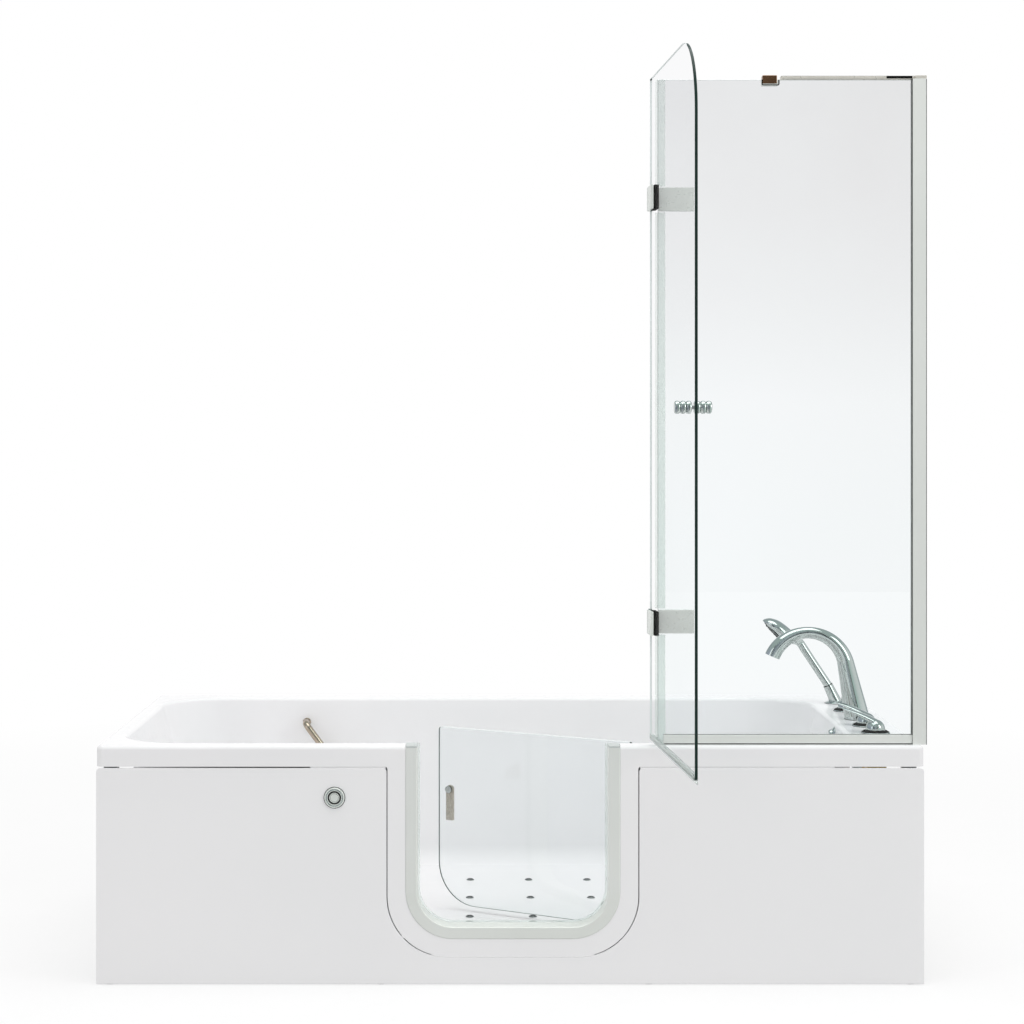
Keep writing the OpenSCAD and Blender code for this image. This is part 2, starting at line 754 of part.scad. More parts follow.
module button_bezel() {
    color(chrome) on_button() rotate_extrude() difference() {
        union() {
            polygon([[0, 0], [bezel_r, 0], [bezel_r, 1.5], [bezel_r - 3, 5], [0, 5]]);
            translate([0, -22]) square([bezel_r - 5 - gap, 23]);
        }
        translate([-1, -11]) square([button_r + 1 + pin_gap, 30]);
        translate([-1, -30]) square([button_stem + 1 + pin_gap, 30]);
        translate([bezel_r - 6, 5]) circle(r = 1.2);
    }
}

module air_button() {
    color(chrome) on_button() rotate_extrude() difference() {
        union() {
            translate([0, -11 + button_travel + 1]) square([button_r, 14 - button_travel]);
            translate([0, -25]) square([button_stem, 20]);
        }
        translate([button_r - 3.5, 4]) circle(r = 1);
        translate([0, 14]) circle(r = 10.6);
    }
}

module button_nut() {
    color(plastic) on_button() difference() {
        translate([0, 0, -panel_t - 8]) cylinder(r = bezel_r + 4, h = 8, $fn = 6);
        rod(bezel_r - 5, -panel_t - 9, -panel_t + 1);
    }
}

// ---- air system ----

duct_top = floor_under - 10;
duct_low = duct_top - 18;
pipe_z = rail_z - 13;
pipe_r = 11;
blower_r = 40;
blower_x = steel_x - tube - blower_r - 1;
blower_y = diverter_y + 60;
blower_z = rail_z + 96;

module air_jets() {
    color(chrome) at_jets() {
        rotate_extrude() polygon([[0, basin_z], [jet_r, basin_z], [jet_r, basin_z + 1.2],
            [jet_r - 3, basin_z + 3], [0, basin_z + 3]]);
        rod(jet_r - 2, duct_top, basin_z);
        rod(jet_r + 2.5, floor_under - 5, floor_under);
    }
}

module air_channel() {
    color(plastic) union() {
        for (j = [-1:1]) let (y = jet_y + j * jet_pitch_y)
            block(jet_x - jet_pitch_x - 18, header_x + 13, y - 13, y + 13, duct_low, duct_top);
        block(header_x - 13, header_x + 13, jet_y - jet_pitch_y - 13, jet_y + jet_pitch_y + 13,
            pipe_z - 13, rail_z);
        for (j = [-1:1]) let (y = jet_y + j * jet_pitch_y)
            block(header_x - 13, header_x + 13, y - 13, y + 13, rail_z - 1, duct_low + 1);
    }
}

module air_pipe() {
    color(plastic) union() {
        translate([header_x + 13, blower_y, pipe_z]) rotate([0, 90, 0])
            cylinder(r = pipe_r, h = blower_x - header_x - 13);
        translate([blower_x, blower_y, 0]) {
            translate([0, 0, pipe_z]) sphere(r = pipe_r);
            rod(pipe_r, pipe_z, blower_z);
        }
        block(header_x - 13, header_x + 24, jet_y + jet_pitch_y + 13, blower_y + 13,
            pipe_z - 13, pipe_z + 12);
    }
}

module air_blower() {
    color(rubber) translate([blower_x, blower_y, blower_z]) union() {
        rod(16, 0, 14);
        rod(blower_r * 0.85, 14, 90);
        rod(blower_r, 34, 70);
        rod(blower_r * 0.6, 90, 104);
        block(0, blower_r + 1, -tube / 2, tube / 2, 40, 60);
    }
}

// ---- grab bar ----

collar_t = 6;

module on_bar(end) {
    translate([bar_x + end * bar_len * cos(bar_slope), inner_back - bar_stand_off,
        bar_z - end * bar_len * sin(bar_slope)]) children();
}

module grab_bar() {
    bend = bar_r + 7;
    color(nickel) on_bar(0) rotate([0, bar_slope, 0]) union() {
        translate([bend, 0, 0]) rotate([0, 90, 0]) cylinder(r = bar_r, h = bar_len - 2 * bend);
        translate([bend, bend, 0]) rotate([0, 0, 180]) rotate_extrude(angle = 90)
            translate([bend, 0]) circle(r = bar_r);
        translate([bar_len - bend, bend, 0]) rotate([0, 0, 270]) rotate_extrude(angle = 90)
            translate([bend, 0]) circle(r = bar_r);
        for (x = [0, bar_len]) translate([x, bend, 0]) rotate([-90, 0, 0])
            cylinder(r = bar_r, h = bar_stand_off - collar_t - bend);
    }
}

module grab_bar_flanges() {
    wide = bar_r + bar_collar;
    color(nickel) for (e = [0, 1]) on_bar(e) translate([0, bar_stand_off, 0]) rotate([90, 0, 0])
        rotate_extrude() polygon([[0, 0], [wide, 0], [wide, collar_t - 2], [wide - 1, collar_t],
            [0, collar_t]]);
}

// ---- waste and overflow ----

shoe_low = 20;
waste_z = rail_z - 14;
overflow_x = right_wall(overflow_z) + 27;
waste_pipe_r = 11;
stopper_stem_r = 5;

module at_drain() {
    translate([drain_x, drain_y, 0]) children();
}

module drain_flange() {
    color(chrome) at_drain() difference() {
        union() {
            rotate_extrude() polygon([[0, basin_z], [drain_r, basin_z], [drain_r, basin_z + 1],
                [drain_r - 8, basin_z + 3], [0, basin_z + 3]]);
            rod(drain_r - 12, floor_under, basin_z + 1);
        }
        rod(drain_r - 16, floor_under + 4, basin_z + 4);
        rod(stopper_stem_r + pin_gap, floor_under - 1, basin_z);
        for (a = [45:90:315]) rotate([0, 0, a]) translate([12, 0, 0]) rod(4, floor_under - 1, basin_z);
    }
}

module drain_stopper() {
    color(chrome) at_drain() {
        rotate_extrude() polygon([[0, basin_z + 3 + gap], [drain_r - 9, basin_z + 3 + gap],
            [drain_r - 7, basin_z + 6], [drain_r - 14, basin_z + 9], [0, basin_z + 10]]);
        rod(stopper_stem_r, floor_under - stopper_travel - 2, basin_z + 4);  // stays in its guide
    }
}

module drain_shoe() {
    color(brass) at_drain() difference() {
        union() {
            rod(drain_r - 6, floor_under - 8, floor_under);
            rod(tail_r + 3, waste_z - 14, floor_under - 6);
            rod(tail_r, shoe_low, waste_z);
        }
        rod(tail_r - 3, shoe_low - 1, floor_under - 8);
        rod(drain_r - 16, floor_under - 9, floor_under + 1);
        rotate([0, 90, 0]) translate([-waste_z, 0, 0]) rod(waste_pipe_r, 0, tail_r + 10);
    }
}

module overflow_plate() {
    color(chrome) on_tap_wall(drain_y, overflow_z) difference() {
        union() {
            rotate_extrude() polygon([[0, 0], [overflow_r, 0], [overflow_r, 1.5],
                [overflow_r - 4, 5], [0, 5]]);
            rod(overflow_r - 8, -shell_t - 9, 1);
            rod(overflow_r - 2, -shell_t - 6, -shell_t);
        }
        rod(4 + pin_gap, -shell_t - 10, 6);
    }
}

module overflow_knob() {
    color(chrome) on_tap_wall(drain_y, overflow_z) {
        rotate_extrude() polygon([[0, 5 + gap], [overflow_r - 6, 5 + gap], [overflow_r - 7, 12],
            [overflow_r - 10, 14], [0, 14]]);
        rod(4, -shell_t - 7, 6);
    }
}

module overflow_pipe() {
    color(plastic) difference() {
        union() {
            translate([overflow_x, drain_y, 0]) {
                rod(waste_pipe_r, waste_z, overflow_z + 14);
                translate([0, 0, waste_z]) sphere(r = waste_pipe_r);
                rod(waste_pipe_r + 3, overflow_z - 16, overflow_z + 16);
            }
            translate([drain_x + tail_r + gap, drain_y, waste_z]) rotate([0, 90, 0])
                cylinder(r = waste_pipe_r, h = overflow_x - drain_x - tail_r - gap);
        }
        on_tap_wall(drain_y, overflow_z) rod(overflow_r - 2 + gap, -shell_t - 9 - gap, 10);
    }
}

// ---- taps ----

spout_steps = 26;
spout_bend = spout_end - spout_lean;
spout_total = spout_leg + spout_bend_r * spout_bend * PI / 180;

// Lean of the spout's middle line at distance d from its foot
function spout_turn(d) = spout_lean + max(d - spout_leg, 0) / spout_bend_r * 180 / PI;

// Point of that line
function spout_point(d) = d < spout_leg
    ? [-d * sin(spout_lean), d * cos(spout_lean)]
    : let (a = spout_turn(d),
        cx = -spout_leg * sin(spout_lean) - spout_bend_r * cos(spout_lean),
        cz = spout_leg * cos(spout_lean) - spout_bend_r * sin(spout_lean))
        [cx + spout_bend_r * cos(a), cz + spout_bend_r * sin(a)];
spout_waist = 0.7;                              // where along its length the spout is thinnest
function spout_thick(u) = u < spout_waist
    ? spout_crown + (spout_foot - spout_crown) * pow(1 - max(u, 0) / spout_waist, 1.3)
    : spout_crown + (spout_mouth - spout_crown) * ease((u - spout_waist) / (1 - spout_waist));

module spout() {
    steps = [for (i = [-1:spout_steps]) i / spout_steps];
    color(chrome) translate([tap_x, spout_y, rim_h]) difference() {
        loft([for (u = steps) spout_point(u * spout_total)],
            [for (u = steps) spout_thick(u)],
            [for (u = steps) spout_thick(u)],
            [for (u = steps) spout_turn(u * spout_total)]);
        translate([-spout_foot, -spout_foot, -spout_foot]) cube([2 * spout_foot, 2 * spout_foot, spout_foot]);
    }
}

module spout_aerator() {
    tip = spout_point(spout_total);
    color(rubber) translate([tap_x + tip[0], spout_y, rim_h + tip[1]])
        rotate([0, -spout_end, 0]) rod(11, gap, 2.5);
}

module under_deck() {
    block(-valve_half, valve_half, -valve_half, valve_half, valve_low, valve_top);
    rod(neck_r, valve_top - 1, rim_h);
    translate([0, 0, deck_under - 10]) cylinder(r = 24, h = 10, $fn = 6);
}

module spout_shank() {
    color(brass) for (y = [spout_y, shower_y]) translate([tap_x, y, 0]) under_deck();
}

module tap_escutcheons() {
    color(chrome) at_taps() difference() {
        rotate_extrude() polygon([[0, rim_h], [escutcheon_r, rim_h], [escutcheon_r, rim_h + 2],
            [dome_r + 2, rim_h + escutcheon_h], [0, rim_h + escutcheon_h]]);
        rod(stem_bore + gap, rim_h - 1, rim_h + escutcheon_h + 1);
    }
}

pipe_tail_r = 10;
pipe_tail = 35;

module valve_bodies() {
    color(brass) at_taps() {
        under_deck();
        rod(stem_bore, rim_h - 1, lever_z + dome_h - 9);
        rod(pipe_tail_r, valve_low - pipe_tail, valve_low);
    }
}

module cross_pipes() {
    spots = [hot_y, cold_y, spout_y, diverter_y, shower_y];
    color(brass) for (i = [0:3])
        translate([tap_x, spots[i] + valve_half, (valve_low + valve_top) / 2]) rotate([-90, 0, 0])
            cylinder(r = 9, h = spots[i + 1] - spots[i] - 2 * valve_half);
}

// Top edge and thickness of a lever at share u of its length
function lever_top(u) = dome_h + 1 + lever_rise * (1.55 * u - 0.55 * u * u);
function lever_thick(u) = 13 - 9 * u;

// Domed tap handle with an arched lever towards +X, foot at z = 0
module tap_lever() {
    steps = [for (i = [0:12]) i / 12];
    difference() {
        union() {
            rotate_extrude() polygon(concat([[0, 0], [dome_r, 0]],
                [for (i = [0:8]) let (a = i * 11.25)
                    [dome_r * cos(a), dome_foot + (dome_h - dome_foot) * sin(a)]]));
            loft([for (u = steps) [u * lever_len, lever_top(u) - lever_thick(u) / 2]],
                [for (u = steps) lever_thick(u)],
                [for (u = steps) 32 - 14 * u - 8 * pow(u, 6)], sides = 16);
        }
        rod(stem_bore + pin_gap, -1, dome_h - 9 + gap);
        translate([-40, -40, -30]) cube([80, 80, 30]);
    }
}

module placed_lever(y, turn) {
    color(chrome) translate([tap_x, y, lever_z]) rotate([0, 0, turn]) tap_lever();
}

module hot_lever() {
    placed_lever(hot_y, lever_turn);
}

module cold_lever() {
    placed_lever(cold_y, lever_turn);
}

module diverter_lever() {
    placed_lever(diverter_y, diverter_turn);
}

socket_r = 8;
holder_deep = 34;

module on_holder() {
    translate([tap_x, shower_y, rim_h]) rotate([0, -holder_lean, 0]) children();
}

module shower_holder() {
    color(chrome) difference() {
        union() {
            translate([tap_x, shower_y, rim_h]) rotate_extrude()
                polygon([[0, 0], [escutcheon_r - 3, 0], [escutcheon_r - 3, 2], [20, 7], [0, 7]]);
            on_holder() rotate_extrude() polygon([[0, -10], [15.5, -10], [14.5, 12],
                [wand_d / 2 + 1.5, holder_h], [0, holder_h]]);
        }
        on_holder() rod(socket_r + pin_gap, holder_h - holder_deep - 1, holder_h + 1);
        translate([tap_x - 60, shower_y - 60, rim_h - 40]) cube([120, 120, 40]);
    }
}

// Shape of the head, from the handle to the tip: way along it, drop towards the spray side,
// thickness and width, each as a share of the head's length, thickness or width
head_shape = [[0, 0, 0.5, 0.32], [0.11, 0.056, 0.64, 0.5], [0.2, 0.146, 0.9, 0.72],
    [0.4, 0.218, 1, 0.94], [0.58, 0.26, 0.94, 1], [0.76, 0.313, 0.82, 0.92],
    [0.91, 0.386, 0.59, 0.66], [0.97, 0.425, 0.36, 0.4], [1, 0.45, 0.1, 0.1]];
face_depth = 7;                                 // how far the spray plate is let into the head

// Frame of the handle: foot at the holder's mouth, +Z up the handle, -X on the spray side
module on_wand() {
    on_holder() translate([0, 0, holder_h + gap]) rotate([0, holder_lean - handle_lean, 0]) children();
}

// Frame of the spray face, +Z out of it and +X towards the tip
module on_face() {
    on_wand() translate([-0.455 * head_l, 0, wand_len + 0.55 * head_l])
        rotate([0, handle_lean - face_lean - 90, 0]) children();
}

module hand_shower() {
    turn = face_lean - handle_lean;
    color(chrome) difference() {
        union() {
            on_wand() loft(
                concat([[0, 0], [0, 16], [0, wand_len / 2]],
                    [for (p = head_shape) [-p[1] * head_l, wand_len + p[0] * head_l]]),
                concat([wand_d, wand_d, wand_d], [for (p = head_shape) p[2] * head_t]),
                concat([wand_d, wand_d, wand_d], [for (p = head_shape) p[3] * head_w]),
                concat([holder_lean - handle_lean, 0, 0], [for (p = head_shape) min(p[0] * 5, 1) * turn]));
            on_holder() rod(socket_r, holder_h - holder_deep, holder_h + 2);
        }
        on_face() translate([-60, -60, -face_depth]) cube([120, 120, 60]);
    }
}

module spray_face() {
    long = head_l * 0.36;
    wide = head_w * 0.4;
    color(plastic) on_face() translate([0, 0, -face_depth]) linear_extrude(face_depth - 1)
        polygon([for (a = [0:10:350]) [long * cos(a), wide * sin(a)]]);
}

// ---- shower screen, fixed half ----

module at_swing_hinges() {
    for (z = [swing_low_z, swing_high_z]) translate([0, 0, z]) children();
}

module wall_profile() {
    leg = 2.5;
    color(satin) difference() {
        block(profile_in, profile_out, screen_y - profile_d / 2, screen_y + profile_d / 2,
            rim_h, brace_z);
        block(profile_in - 1, profile_out - profile_wall, screen_y - profile_d / 2 + leg,
            screen_y + profile_d / 2 - leg, rim_h - 1, brace_z + 1);
        for (z = wall_screw_z) translate([0, screen_y, z]) rotate([0, 90, 0])
            rod(2.5, profile_out - profile_wall - 1, profile_out + 1);
    }
}

wall_screw_pitch = (screen_top - rim_h) * 0.42;
wall_screw_z = [for (i = [-1:1]) (screen_top + rim_h) / 2 + i * wall_screw_pitch];

module glazing_gasket() {
    outer = profile_d / 2 - 2.5;
    color(rubber) for (s = [-1, 1]) translate([0, screen_y, 0])
        block(profile_in - 3.5, profile_in + 8, s > 0 ? screen_t / 2 : -outer,
            s > 0 ? outer : -screen_t / 2, rail_top, screen_top);
}

module bottom_rail() {
    color(satin) difference() {
        block(fixed_x + 12, profile_in, screen_y - rail_d / 2, screen_y + rail_d / 2, rim_h, rail_top);
        block(fixed_x, profile_in + 1, screen_y - screen_t / 2 - gap, screen_y + screen_t / 2 + gap,
            glass_low, rail_top + 1);
    }
}

module fixed_glass() {
    color(clear, 0.4) difference() {
        block(fixed_x, fixed_end, screen_y - screen_t / 2, screen_y + screen_t / 2,
            glass_low, screen_top);
        at_swing_hinges() block(fixed_x - 1, fixed_x + 30, screen_y - screen_t, screen_y + screen_t,
            -notch_half, notch_half);
    }
}

module edge_seal() {
    wall = 1.4;
    color(clear, 0.6) difference() {
        union() {
            block(fixed_x - wall, fixed_x + edge_seal_w - wall, screen_y - screen_t / 2 - wall,
                screen_y + screen_t / 2 + wall, rim_h + gap, screen_top);
            block(lip_x, fixed_x, screen_y - 1.2, screen_y + 1.2, rim_h + gap, screen_top);
        }
        block(fixed_x, fixed_x + edge_seal_w + 1, screen_y - screen_t / 2, screen_y + screen_t / 2,
            rim_h - 1, screen_top + 1);
        block(fixed_x + 12 - gap, fixed_x + edge_seal_w + 1, screen_y - rail_d, screen_y + rail_d,
            rim_h - 1, rail_top + gap);
        at_swing_hinges() block(fixed_x - 10, fixed_x + edge_seal_w + 1, screen_y - 20, screen_y + 20,
            -plate_half - 3, plate_half + 3);
    }
}

module brace_clamp() {
    color(chrome) difference() {
        union() {
            block(clamp_x, clamp_x + clamp_l, screen_y - 10, screen_y + 10,
                screen_top - 14, brace_z + brace_t + 1);
            translate([clamp_x + clamp_l / 2, screen_y, screen_top - 7]) rotate([90, 0, 0])
                rod(5, 9, 12);
        }
        block(clamp_x - 1, clamp_x + clamp_l + 1, screen_y - screen_t / 2 - gap / 3,
            screen_y + screen_t / 2 + gap / 3, screen_top - 20, screen_top + gap / 3);
    }
}

module brace_bar() {
    color(chrome) block(clamp_x + clamp_l, profile_in + 6, screen_y - 9, screen_y + 9,
        brace_z, brace_z + brace_t);
}

module brace_bracket() {
    color(chrome) union() {
        block(profile_in + 6, profile_out, screen_y - profile_d / 2, screen_y + profile_d / 2,
            brace_z, brace_z + brace_t);
        translate([profile_out - 12, screen_y, 0]) rod(4.5, brace_z + brace_t, brace_z + brace_t + 1.5);
    }
}

module screen_hinge_plates() {
    near = fixed_x - swing_x + 2;
    half = screen_t / 2;
    color(chrome) translate([swing_x, screen_y, 0]) at_swing_hinges() difference() {
        union() {
            for (s = [-1, 1]) block(near, near + plate_w, s > 0 ? half : -half - plate_t,
                s > 0 ? half + plate_t : -half, -plate_half, plate_half);
            block(near, near + 26, -half - 1, half + 1, -notch_half + 2, notch_half - 2);
            block(0, near + 1, -web_half, web_half, -swing_knuckle, swing_knuckle);
            rod(knuckle_r, -swing_knuckle, swing_knuckle);
        }
        rod(swing_pin_r + pin_gap, -plate_half - 3, plate_half + 3);
    }
}

module screen_hinge_pins() {
    color(chrome) translate([swing_x, screen_y, 0]) at_swing_hinges() {
        rod(swing_pin_r, -plate_half, plate_half + gap);
        rod(swing_pin_r + 2, plate_half + gap, plate_half + 2.5);
    }
}

// ---- shower screen, swinging half, drawn closed and turned to its rest angle ----

module on_swing() {
    translate([swing_x, screen_y, 0]) rotate([0, 0, swing_rest]) children();
}

module door_hinge_plates() {
    half = screen_t / 2;
    near = swing_inset + 4;
    color(chrome) on_swing() at_swing_hinges() difference() {
        union() {
            for (s = [-1, 1]) block(-near - door_plate_w, -near, s > 0 ? half : -half - plate_t,
                s > 0 ? half + plate_t : -half, -plate_half, plate_half);
            block(-near - 22, -near, -half - 1, half + 1, -notch_half + 2, notch_half - 2);
            for (s = [-1, 1]) {
                low = s > 0 ? swing_knuckle + gap : -plate_half;
                high = s > 0 ? plate_half : -swing_knuckle - gap;
                block(-near - 1, 0, -web_half, web_half, low, high);
                rod(knuckle_r, low, high);
            }
        }
        rod(swing_pin_r + pin_gap, -plate_half - 1, plate_half + 1);
    }
}

module screen_door_glass() {
    color(clear, 0.4) on_swing() difference() {
        along_y(-screen_t / 2, screen_t / 2) round_rect(-swing_w, -swing_inset, swing_z, swing_top,
            [6, 6, 6, swing_corner_r]);
        at_swing_hinges() block(-swing_inset - 28, 0, -screen_t, screen_t, -notch_half, notch_half);
        at_swing_hinges() block(-swing_inset - 5, 0, -screen_t, screen_t, -plate_half - 1, plate_half + 1);
        translate([-swing_w + knob_inset, 0, knob_z]) rotate([90, 0, 0]) rod(4 + gap, -far, far);
    }
}

module bottom_seal() {
    wall = 1.4;
    color(clear, 0.6) on_swing() difference() {
        union() {
            block(-swing_w + 8, -swing_inset - 6, -screen_t / 2 - wall, screen_t / 2 + wall,
                swing_z - wall, swing_z + 11);
            block(-swing_w + 8, -swing_inset - 6, -screen_t / 2 - wall, -screen_t / 2,
                swing_z - 10, swing_z);
        }
        block(-swing_w, 0, -screen_t / 2, screen_t / 2, swing_z, swing_z + 20);
    }
}

module at_knob() {
    on_swing() translate([-swing_w + knob_inset, 0, knob_z]) rotate([90, 0, 0]) children();
}

module screen_knobs() {
    lobe = knob_len / 3;
    half = screen_t / 2;
    color(chrome) at_knob() for (s = [0, 1]) mirror([0, 0, s]) difference() {
        rotate_extrude() difference() {
            translate([0, half]) square([knob_r, knob_len]);
            for (i = [0:3]) translate([knob_r + 0.6, half + i * lobe]) circle(r = 2.2);
        }
        rod(4 + pin_gap, 0, half + knob_len - 6);
    }
}

module knob_bolt() {
    reach = screen_t / 2 + knob_len - 6;
    color(steel) at_knob() rod(4, -reach, reach);
}

tub_shell();
front_panel();
panel_clips();
support_frame();
foot_stems();
foot_pads();
door_frame();
door_seal();
door_glass();
hinge_brackets();
hinge_pins();
hinge_leaves();
hinge_bolts();
inner_wall_screws();
latch_lever();
latch_pivot();
latch_keeper();
button_bezel();
air_button();
button_nut();
air_jets();
air_channel();
air_pipe();
air_blower();
grab_bar();
grab_bar_flanges();
drain_flange();
drain_stopper();
drain_shoe();
overflow_plate();
overflow_knob();
overflow_pipe();
spout();
spout_aerator();
spout_shank();
tap_escutcheons();
hot_lever();
cold_lever();
diverter_lever();
valve_bodies();
cross_pipes();
shower_holder();
hand_shower();
spray_face();
wall_profile();
glazing_gasket();
bottom_rail();
fixed_glass();
edge_seal();
brace_bar();
brace_clamp();
brace_bracket();
screen_hinge_plates();
screen_hinge_pins();
door_hinge_plates();
screen_door_glass();
bottom_seal();
screen_knobs();
knob_bolt();
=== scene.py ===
import bpy
import bmesh
import math
from mathutils import Matrix, Vector


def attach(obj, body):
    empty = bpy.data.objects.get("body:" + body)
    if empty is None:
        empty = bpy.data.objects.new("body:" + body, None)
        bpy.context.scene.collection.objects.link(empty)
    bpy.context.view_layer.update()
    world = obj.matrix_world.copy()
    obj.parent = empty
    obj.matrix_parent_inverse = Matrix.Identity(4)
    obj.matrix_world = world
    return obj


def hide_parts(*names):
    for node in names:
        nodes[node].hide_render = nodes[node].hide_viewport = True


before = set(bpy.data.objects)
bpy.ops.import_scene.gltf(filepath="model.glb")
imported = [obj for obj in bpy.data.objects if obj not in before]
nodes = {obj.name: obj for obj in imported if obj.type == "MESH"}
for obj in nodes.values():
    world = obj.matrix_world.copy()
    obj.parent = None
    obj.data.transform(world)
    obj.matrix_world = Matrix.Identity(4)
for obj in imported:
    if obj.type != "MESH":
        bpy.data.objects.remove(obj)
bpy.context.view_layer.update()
mm = 0.001
facingFront = ((0, -1, 0), (1, 0, 0))  # an outline's own up and right, for frameAt
facingUp = ((0, 0, 1), (1, 0, 0))
print("stage: frame loaded,", len(nodes), "nodes")


# mesh helpers, all sizes in millimetres

def place(points):
    return [Vector(p) * mm for p in points]


def addObject(name, mesh):
    thing = bpy.data.objects.new(name, mesh)
    bpy.context.scene.collection.objects.link(thing)
    return thing


def reshape(mesh, *steps):
    bm = bmesh.new()
    bm.from_mesh(mesh)
    for step in steps:
        step(bm)
    bm.to_mesh(mesh)
    bm.free()
    return mesh


def weld(bm, distance=1e-6):
    bmesh.ops.remove_doubles(bm, verts=bm.verts, dist=distance)


def faceOut(bm):
    bmesh.ops.recalc_face_normals(bm, faces=bm.faces)


def meshFrom(name, points, faces):
    mesh = bpy.data.meshes.new(name)
    mesh.from_pydata(place(points), [], faces)
    return reshape(mesh, weld, faceOut)


def evaluated(thing, name=None):
    graph = bpy.context.evaluated_depsgraph_get()
    mesh = bpy.data.meshes.new_from_object(thing.evaluated_get(graph), depsgraph=graph)
    mesh.name = name or thing.name
    return mesh


def bakeModifiers(thing):
    mesh = evaluated(thing)
    thing.modifiers.clear()
    old = thing.data
    thing.data = mesh
    bpy.data.meshes.remove(old)
    return thing


def shade(mesh, angle=34):
    mesh.polygons.foreach_set("use_smooth", [True] * len(mesh.polygons))
    mesh.set_sharp_from_angle(angle=math.radians(angle))
    mesh.update()


def weightNormals(thing, angle=34):
    shade(thing.data, angle)
    extra = thing.modifiers.new("normals", "WEIGHTED_NORMAL")
    extra.keep_sharp = True
    extra.weight = 60
    return bakeModifiers(thing)


def bevelMesh(mesh, width, segments=2, limit=34, chosen=None):
    def bevel(bm):
        picked = [edge for edge in bm.edges
                  if len(edge.link_faces) == 2 and edge.calc_face_angle(0) > math.radians(limit)
                  and (chosen is None or chosen(edge))]
        if picked:
            bmesh.ops.bevel(bm, geom=picked, offset=width * mm, offset_type="OFFSET", segments=segments,
                            profile=0.5, affect="EDGES", clamp_overlap=True)
    return reshape(mesh, bevel)


def joinMeshes(name, parts):
    bm = bmesh.new()
    for part in parts:
        bm.from_mesh(part)
    mesh = bpy.data.meshes.new(name)
    bm.to_mesh(mesh)
    bm.free()
    return mesh


def joined(name, parts, angle=34):
    return weightNormals(addObject(name, joinMeshes(name, parts)), angle)


# body is the record's, slotName is not used, finish is one of the looks below
def dress(thing, body, slotName, finish, *replaced):
    if finish is not None:
        thing.data.materials.clear()
        thing.data.materials.append(materials[finish])
    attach(thing, body)
    if replaced:
        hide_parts(*replaced)
    return thing


softening = {"weld": 4e-6, "flat": 0.4}  # metres, and degrees between faces taken as one


# a CAD node's own shape with softened edges, named like the node
def softPiece(source, body, slotName, finish, width, segments=2):
    def simplify(bm):
        weld(bm, softening["weld"])
        bmesh.ops.dissolve_limit(bm, angle_limit=math.radians(softening["flat"]), verts=bm.verts,
                                 edges=bm.edges, use_dissolve_boundaries=False)
    words = source.split("_")
    name = words[0] + "".join(word.title() for word in words[1:])
    mesh = reshape(joinMeshes(name, [nodes[source].data]), simplify)
    thing = weightNormals(addObject(name, bevelMesh(mesh, width, segments)))
    return dress(thing, body, slotName, finish, source)


def loftMesh(name, rings):
    count = len(rings[0])
    last = (len(rings) - 1) * count
    points = [p for ring in rings for p in ring]
    faces = []
    for a in range(0, last, count):
        for j in range(count):
            k = (j + 1) % count
            faces.append((a + j, a + k, a + count + k, a + count + j))
    faces.append(tuple(range(count - 1, -1, -1)))
    faces.append(tuple(range(last, last + count)))
    return meshFrom(name, points, faces)


def turnsOf(count):
    return [2 * math.pi * j / count for j in range(count)]


# profile is a list of (radius, height), turned round the matrix's own up
def latheMesh(name, profile, steps=48, matrix=Matrix.Identity(4)):
    def closePoles(bm):
        bmesh.ops.dissolve_degenerate(bm, edges=bm.edges, dist=1e-7)
    points = [matrix @ Vector((r * math.cos(a), r * math.sin(a), z)) for r, z in profile
              for a in turnsOf(steps)]
    faces = []
    last = (len(profile) - 1) * steps
    for i in range(0, last, steps):
        for j in range(steps):
            k = (j + 1) % steps
            faces.append((i + j, i + k, i + steps + k, i + steps + j))
    if profile[0] != profile[-1]:
        if profile[0][0] > 1e-6:
            faces.append(tuple(range(steps - 1, -1, -1)))
        if profile[-1][0] > 1e-6:
            faces.append(tuple(range(last, last + steps)))
    return reshape(meshFrom(name, points, faces), weld, closePoles, faceOut)


def roundProfile(points, radius, steps=4):
    out = [points[0]]
    for i in range(1, len(points) - 1):
        a, b, c = Vector(points[i - 1]), Vector(points[i]), Vector(points[i + 1])
        inLen, outLen = (b - a).length, (c - b).length
        cut = min(radius, inLen * 0.45, outLen * 0.45)
        p0 = b + (a - b).normalized() * cut
        p1 = b + (c - b).normalized() * cut
        for s in range(steps + 1):
            t = s / steps
            q = p0 * (1 - t) ** 2 + b * 2 * t * (1 - t) + p1 * t ** 2
            out.append((q.x, q.y))
    out.append(points[-1])
    return out


def frameAt(origin, zAxis, xAxis):
    z = Vector(zAxis).normalized()
    x = Vector(xAxis)
    x = (x - z * x.dot(z)).normalized()
    y = z.cross(x)
    m = Matrix((x, y, z)).transposed().to_4x4()
    m.translation = Vector(origin)
    return m


def extrudeOutline(name, outline, depth, matrix):
    count = len(outline)
    points = [matrix @ Vector((x, y, 0)) for x, y in outline]
    points += [matrix @ Vector((x, y, depth)) for x, y in outline]
    faces = [tuple(range(count - 1, -1, -1)), tuple(range(count, 2 * count))]
    for j in range(count):
        k = (j + 1) % count
        faces.append((j, k, count + k, count + j))
    return meshFrom(name, points, faces)


def rectangle(x0, x1, y0, y1):
    return [(x0, y0), (x1, y0), (x1, y1), (x0, y1)]


def rounded(x0, x1, y0, y1, radii, steps=12, sideSteps=2):
    return [(p[0], p[1]) for p in roundedOutline(x0, x1, y0, y1, radii, steps, sideSteps)]


# an outline in the X-Z plane, pushed back from y
def slab(name, outline, y, depth):
    return extrudeOutline(name, outline, depth, frameAt((0, y + depth, 0), *facingFront))


